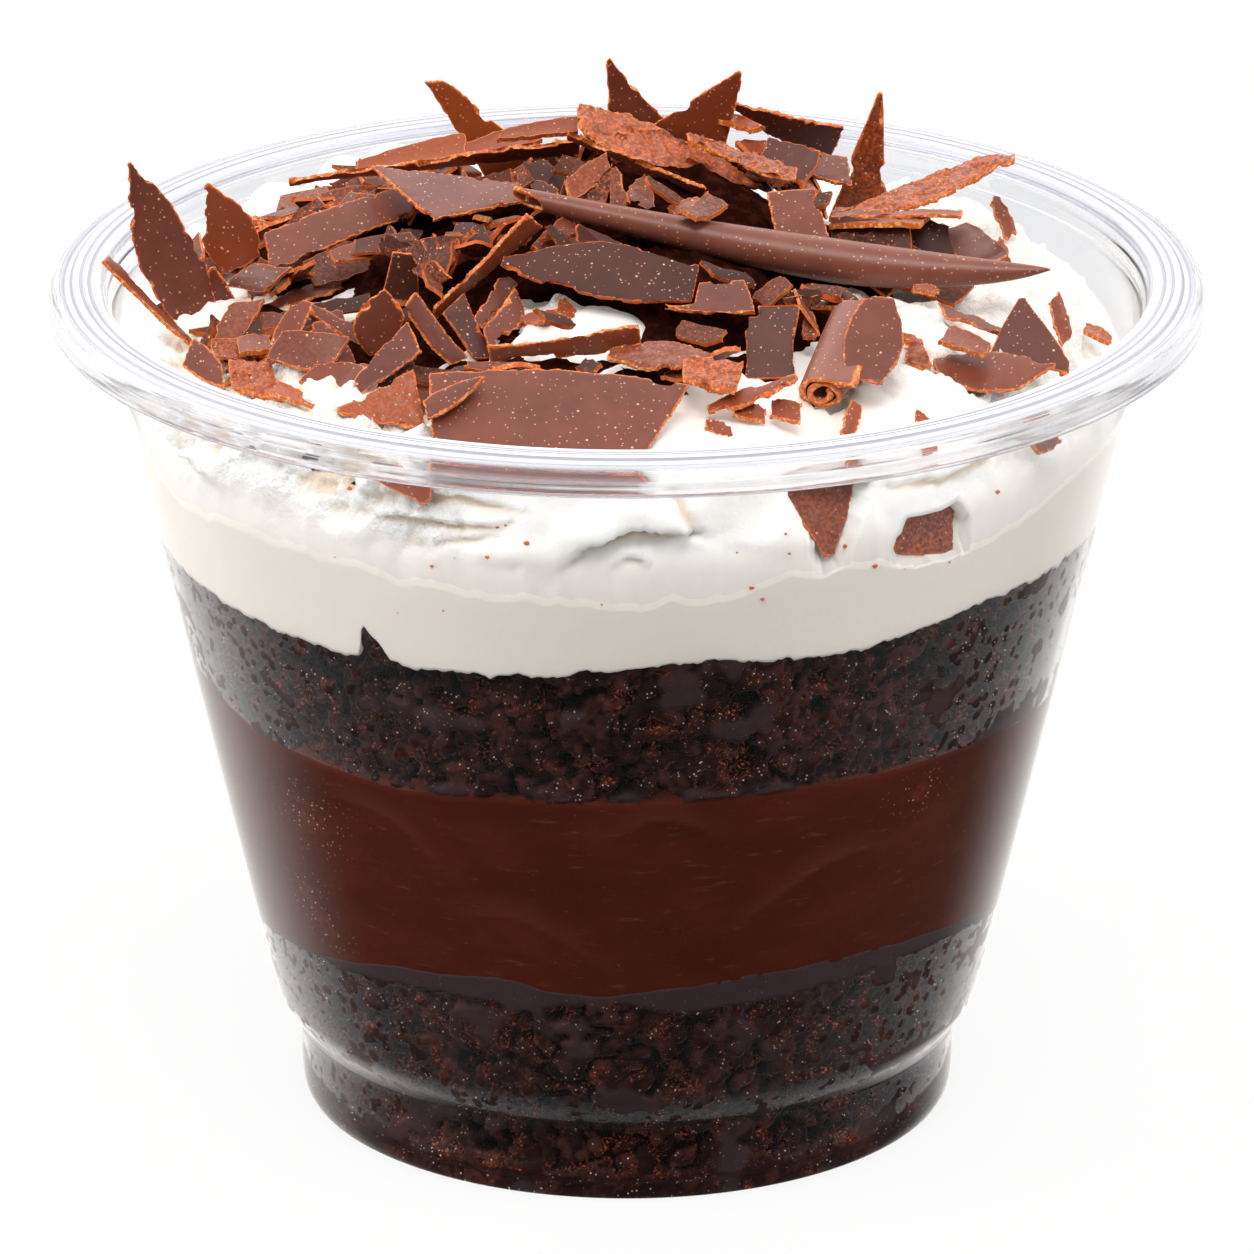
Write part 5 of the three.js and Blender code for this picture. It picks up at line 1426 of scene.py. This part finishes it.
def build_stage(settings):
    """Pale floor, soft studio light and the camera."""
    half = 1.5
    mesh = bpy.data.meshes.new("floor")
    corners = [(-half, -half, 0), (half, -half, 0), (half, half, 0), (-half, half, 0)]
    mesh.from_pydata(corners, [], [(0, 1, 2, 3)])
    floor = bpy.data.objects.new("floor", mesh)
    finish = Finish("pale_floor")
    finish.set(finish.surface, {
        "Base Color": settings.floor,
        "Roughness": 0.9,
        "Specular IOR Level": 0.0,
        "Emission Color": (1, 1, 1),
        "Emission Strength": settings.floor_glow,
    })
    mesh.materials.append(finish.material)
    bpy.context.scene.collection.objects.link(floor)
    floor.visible_glossy = False
    floor.visible_diffuse = False

    scene = bpy.context.scene
    world = bpy.data.worlds.new("studio")
    world.use_nodes = True
    nodes, links = world.node_tree.nodes, world.node_tree.links
    nodes.clear()
    out = nodes.new("ShaderNodeOutputWorld")
    # the room is bright behind the cup and softly lit from above, and dark in front of it
    toward = nodes.new("ShaderNodeTexCoord")
    total = None
    for axis, start, end, strength in (
        ((-0.2, 0.98, 0.0), 0.2, 0.8, settings.back_glow),
        ((0.0, 0.15, 0.99), 0.1, 0.95, settings.sky_strength),
    ):
        level = nodes.new("ShaderNodeVectorMath")
        level.operation = "DOT_PRODUCT"
        level.inputs[1].default_value = axis
        links.new(toward.outputs["Generated"], level.inputs[0])
        fall = nodes.new("ShaderNodeMapRange")
        fall.interpolation_type = "SMOOTHSTEP"
        for key, value in (("From Min", start), ("From Max", end), ("To Min", 0.02), ("To Max", strength)):
            fall.inputs[key].default_value = value
        links.new(level.outputs["Value"], fall.inputs["Value"])
        if total:
            both = nodes.new("ShaderNodeMath")
            links.new(total, both.inputs[0])
            links.new(fall.outputs["Result"], both.inputs[1])
            total = both.outputs[0]
        else:
            total = fall.outputs["Result"]
    sky = nodes.new("ShaderNodeBackground")
    sky.inputs["Color"].default_value = (*settings.sky, 1)
    backdrop = nodes.new("ShaderNodeBackground")
    backdrop.inputs["Color"].default_value = (1, 1, 1, 1)
    backdrop.inputs["Strength"].default_value = 1.05
    rays = nodes.new("ShaderNodeLightPath")
    fill = nodes.new("ShaderNodeMapRange")
    fill.inputs["To Min"].default_value = settings.fill
    fill.inputs["To Max"].default_value = 0.0
    links.new(rays.outputs["Is Diffuse Ray"], fill.inputs["Value"])
    filled = nodes.new("ShaderNodeMath")
    links.new(total, filled.inputs[0])
    links.new(fill.outputs["Result"], filled.inputs[1])
    links.new(filled.outputs[0], sky.inputs["Strength"])
    blend = nodes.new("ShaderNodeMixShader")
    links.new(rays.outputs["Is Camera Ray"], blend.inputs[0])
    links.new(sky.outputs[0], blend.inputs[1])
    links.new(backdrop.outputs[0], blend.inputs[2])
    links.new(blend.outputs[0], out.inputs["Surface"])
    scene.world = world
    scene.view_settings.view_transform = "Standard"

    area_light("key", (0.03, -0.36, 0.66), (0, 0, 0.05), 0.32, settings.key_energy, (1.0, 0.985, 0.96))
    area_light("left", (-0.55, -0.12, 0.30), (0, 0, 0.05), 0.32, settings.left_energy)
    area_light("right", (0.55, -0.12, 0.30), (0, 0, 0.05), 0.32, settings.right_energy)

    camera = bpy.data.cameras.new("camera")
    camera.sensor_width = 36
    camera.lens = settings.lens
    camera.clip_end = 20
    eye = bpy.data.objects.new("camera", camera)
    target = Vector((0, 0, settings.target_height))
    rise = settings.elevation
    eye.location = target + settings.distance * Vector((0, -math.cos(rise), math.sin(rise)))
    eye.rotation_euler = (target - eye.location).to_track_quat("-Z", "Y").to_euler()
    scene.collection.objects.link(eye)
    scene.camera = eye


# ---- settings, operators and panel ---------------------------------------------------------


def colour(name, description, red, green, blue):
    """A colour setting whose default is a display colour from 0 to 255."""
    return FloatVectorProperty(name=name, description=description, subtype="COLOR", size=3, min=0, max=1,
                               default=srgb(red, green, blue))


class CupSettings(bpy.types.PropertyGroup):
    segments: IntProperty(name="Segments", description="Faces round the cup", default=200, min=24)
    rounding: IntProperty(name="Rounding", description="How often the corners of the section are cut",
                          default=2, min=0, max=4)
    tint: colour("Tint", "Colour of the clear plastic", 232, 233, 236)
    gloss: colour("Gloss", "How much the plastic mirrors where it is seen straight on", 140, 140, 140)
    # colours of the rim's haze and of its painted reflection stripes
    milk: colour("Milk", "Colour of the haze in the rim", 226, 226, 232)
    milk_shade: colour("Milk shade", "Second colour of the haze in the rim", 166, 168, 178)
    haze: FloatProperty(name="Haze", description="How milky the rim is", default=0.22, min=0, max=1)
    top_haze: FloatProperty(name="Top haze", description="How much milkier the flat top of the rim is",
                            default=0.7, min=0, max=1)
    roughness: FloatProperty(name="Roughness", description="How much the plastic blurs", default=0.015)
    ior: FloatProperty(name="IOR", description="How strongly the plastic bends light", default=1.5)


class CakeSettings(bpy.types.PropertyGroup):
    crumb_size: FloatProperty(name="Crumb size", description="Distance between grains of the crumb",
                              default=1.15 * MM, unit="LENGTH", precision=5)
    pit_depth: FloatProperty(name="Pit depth", description="Depth of the holes in the crumb",
                             default=1.1 * MM, unit="LENGTH", precision=5)
    bottom_columns: IntProperty(name="Bottom columns", description="Faces round the lower cake",
                                default=800)
    top_columns: IntProperty(name="Top columns", description="Faces round the upper cake", default=1020)
    dark: colour("Dark crumb", "Colour of most of the crumb", 38, 20, 17)
    crumb: colour("Light crumb", "Colour of the lighter grains", 76, 42, 35)
    # colours of the painted warm and bright highlights on the crumb
    crumb_warm_highlight: colour("Warm crumb", "Colour of a few grains", 126, 54, 30)
    crumb_bright_highlight: colour("Bright crumb", "Colour of the brightest flecks", 210, 118, 78)
    # colour of the painted shade deep in the holes
    pit_shade: colour("Pit", "Colour deep in the holes", 3, 1, 1)
    film: colour("Film", "Colour of the film on the wall", 64, 51, 53)
    glint: colour("Glint", "Colour of wet glints", 222, 214, 214)


class MousseSettings(bpy.types.PropertyGroup):
    columns: IntProperty(name="Columns", description="Faces round the mousse", default=400)
    rows: IntProperty(name="Rows", description="Faces up its wall", default=50)
    deep: colour("Deep", "Darker colour of the mousse", 72, 24, 9)
    light: colour("Light", "Lighter colour of the mousse", 84, 31, 14)
    smear: colour("Smear", "Colour of the smears", 92, 42, 30)
    bubble: colour("Bubble", "Colour of fine bubbles", 120, 72, 58)
    crumbly: colour("Crumbly", "Colour of the crumbly spots", 112, 48, 30)
    # colour of the painted sparkles
    painted_sparkle: colour("Spark", "Colour of the bright dots in the crumbly spots", 224, 168, 150)
    # colour of the painted sheen where the mousse is seen edge on
    edge_on_sheen: colour("Bloom", "Colour where the mousse is seen edge on", 150, 96, 82)


class CreamSettings(bpy.types.PropertyGroup):
    columns: IntProperty(name="Columns", description="Faces round the cream", default=700)
    colour: colour("Cream", "Main colour of the cream", 252, 249, 243)
    shade: colour("Cream shade", "Second colour of the cream", 250, 246, 239)
    # colour of the painted shade where the cream lies on the wall
    pressed: colour("Pressed cream", "Colour where the cream lies against the wall", 232, 226, 217)
    # colour of the painted warm shade in the folds and hollows
    hollow: colour("Hollow", "Colour in the folds", 240, 222, 198)


class ShavingSettings(bpy.types.PropertyGroup):
    voxel: FloatProperty(name="Detail", description="Size of the faces of the large shavings",
                         default=0.19 * MM, unit="LENGTH", precision=5)
    raggedness: FloatProperty(name="Raggedness", description="How far the edges are broken",
                              default=0.14 * MM, unit="LENGTH", precision=5)
    rim_width: FloatProperty(name="Edge width", description="Width of the bright broken edge",
                             default=0.19 * MM, unit="LENGTH", precision=5)
    core_depth: FloatProperty(name="Core depth", description="How far the core lies under the heap's outline",
                              default=3.4 * MM, unit="LENGTH", precision=5)
    loose_count: IntProperty(name="Loose shavings", description="Most small shavings", default=1000)
    seed: IntProperty(name="Seed", description="Changes the scatter of the small shavings", default=5)
    face: colour("Face", "Colour of the smooth faces", 91, 44, 33)
    face_pale: colour("Pale face", "Lighter colour of the smooth faces", 107, 55, 42)
    # colour of the painted light on the most lit shavings
    face_painted_light: colour("Light face", "Colour of the lightest faces", 172, 112, 94)
    face_warm: colour("Warm face", "Colour of the orange-brown shavings", 150, 70, 34)
    # colours of the broken edges and of the painted highlight on them
    rim: colour("Broken edge", "Colour of the broken edges", 208, 100, 36)
    rim_highlight: colour("Pale broken edge", "Lightest colour on the broken edges", 250, 184, 112)
    speck: colour("Speck", "Colour of the pale specks", 222, 172, 136)
    # the deep colour used as painted shade in the heap
    core: colour("Core", "Colour deep in the heap", 30, 10, 6)


class StageSettings(bpy.types.PropertyGroup):
    floor: colour("Floor", "Colour of the floor", 90, 90, 90)
    floor_glow: FloatProperty(name="Floor glow", description="Light from the floor itself", default=0.86)
    sky: colour("Light", "Colour of the light all round", 255, 252, 249)
    sky_strength: FloatProperty(name="Light from above", description="Strength of the light from above",
                                default=1.25)
    back_glow: FloatProperty(name="Light from behind", description="Strength of the light from behind",
                             default=1.1)
    fill: FloatProperty(name="Fill", description="Light that shows in gloss and clear plastic", default=0.1)
    key_energy: FloatProperty(name="Key", description="Power of the main light", default=2.35, unit="POWER")
    left_energy: FloatProperty(name="Left", description="Power of the light at the left", default=1.8,
                               unit="POWER")
    right_energy: FloatProperty(name="Right", description="Power of the light at the right", default=1.2,
                                unit="POWER")
    lens: FloatProperty(name="Lens", description="Focal length in millimetres", default=310.8)
    distance: FloatProperty(name="Distance", description="Camera to cup", default=0.9, unit="LENGTH")
    target_height: FloatProperty(name="Target height", description="Height that the camera looks at",
                                 default=0.0404, unit="LENGTH", precision=4)
    elevation: FloatProperty(name="Elevation", description="Angle of the camera above level",
                             default=math.radians(LOOK_DOWN), unit="ROTATION")


class CakeCupSettings(bpy.types.PropertyGroup):
    cup: PointerProperty(type=CupSettings, name="Cup", description="The clear cup")
    cake: PointerProperty(type=CakeSettings, name="Cake", description="The two layers of cake")
    mousse: PointerProperty(type=MousseSettings, name="Mousse", description="The layer of mousse")
    cream: PointerProperty(type=CreamSettings, name="Cream", description="The whipped cream")
    shavings: PointerProperty(type=ShavingSettings, name="Shavings", description="The chocolate shavings")
    stage: PointerProperty(type=StageSettings, name="Stage", description="Floor, light and camera")


class CAKECUP_OT_cup(bpy.types.Operator):
    """Add the clear cup"""

    bl_idname = "cake_cup.cup"
    bl_label = "Cup"

    def execute(self, context):
        build_cup(context.scene.cake_cup.cup)
        return {"FINISHED"}


class CAKECUP_OT_cakes(bpy.types.Operator):
    """Add the two layers of cake"""

    bl_idname = "cake_cup.cakes"
    bl_label = "Cake layers"

    def execute(self, context):
        build_cakes(context.scene.cake_cup.cake)
        return {"FINISHED"}


class CAKECUP_OT_mousse(bpy.types.Operator):
    """Add the layer of mousse"""

    bl_idname = "cake_cup.mousse"
    bl_label = "Mousse"

    def execute(self, context):
        build_mousse(context.scene.cake_cup.mousse)
        return {"FINISHED"}


class CAKECUP_OT_cream(bpy.types.Operator):
    """Add the whipped cream, the heap that lies on it and its crumbs"""

    bl_idname = "cake_cup.cream"
    bl_label = "Cream and loose shavings"

    def execute(self, context):
        settings = context.scene.cake_cup
        cream = build_cream(settings.cream)
        tree = build_heap(settings.shavings, cream)
        build_crumbs(settings.shavings, tree)
        return {"FINISHED"}


class CAKECUP_OT_shavings(bpy.types.Operator):
    """Add the large flat shavings"""

    bl_idname = "cake_cup.shavings"
    bl_label = "Large shavings"

    def execute(self, context):
        build_shavings(context.scene.cake_cup.shavings)
        return {"FINISHED"}


class CAKECUP_OT_rolls(bpy.types.Operator):
    """Add the long quill and the curl"""

    bl_idname = "cake_cup.rolls"
    bl_label = "Rolled shavings"

    def execute(self, context):
        build_rolls(context.scene.cake_cup.shavings)
        return {"FINISHED"}


class CAKECUP_OT_stage(bpy.types.Operator):
    """Add the floor, the lights and the camera"""

    bl_idname = "cake_cup.stage"
    bl_label = "Stage"

    def execute(self, context):
        build_stage(context.scene.cake_cup.stage)
        return {"FINISHED"}


class CAKECUP_PT_panel(bpy.types.Panel):
    """Settings and pieces of the cake cup"""

    bl_label = "Cake Cup"
    bl_idname = "CAKECUP_PT_panel"
    bl_space_type = "VIEW_3D"
    bl_region_type = "UI"
    bl_category = "Cake Cup"

    def draw(self, context):
        settings = context.scene.cake_cup
        for title, operators in PARTS.items():
            box = self.layout.box()
            box.label(text=title.capitalize())
            group = getattr(settings, title)
            for key in group.__annotations__:
                box.prop(group, key)
            for operator in operators:
                box.operator(operator)


# Which operators each group of settings belongs to, in the order in which they run.
PARTS = {
    "cup": ("cake_cup.cup",),
    "cake": ("cake_cup.cakes",),
    "mousse": ("cake_cup.mousse",),
    "cream": ("cake_cup.cream",),
    "shavings": ("cake_cup.shavings", "cake_cup.rolls"),
    "stage": ("cake_cup.stage",),
}

CLASSES = (
    CupSettings, CakeSettings, MousseSettings, CreamSettings, ShavingSettings, StageSettings, CakeCupSettings,
    CAKECUP_OT_cup, CAKECUP_OT_cakes, CAKECUP_OT_mousse, CAKECUP_OT_cream, CAKECUP_OT_shavings,
    CAKECUP_OT_rolls, CAKECUP_OT_stage, CAKECUP_PT_panel,
)


def register():
    for entry in CLASSES:
        bpy.utils.register_class(entry)
    bpy.types.Scene.cake_cup = PointerProperty(type=CakeCupSettings)


def unregister():
    del bpy.types.Scene.cake_cup
    for entry in reversed(CLASSES):
        bpy.utils.unregister_class(entry)


def main():
    register()
    for operators in PARTS.values():
        for operator in operators:
            getattr(bpy.ops.cake_cup, operator.split(".")[1])()


if __name__ == "__main__":
    main()
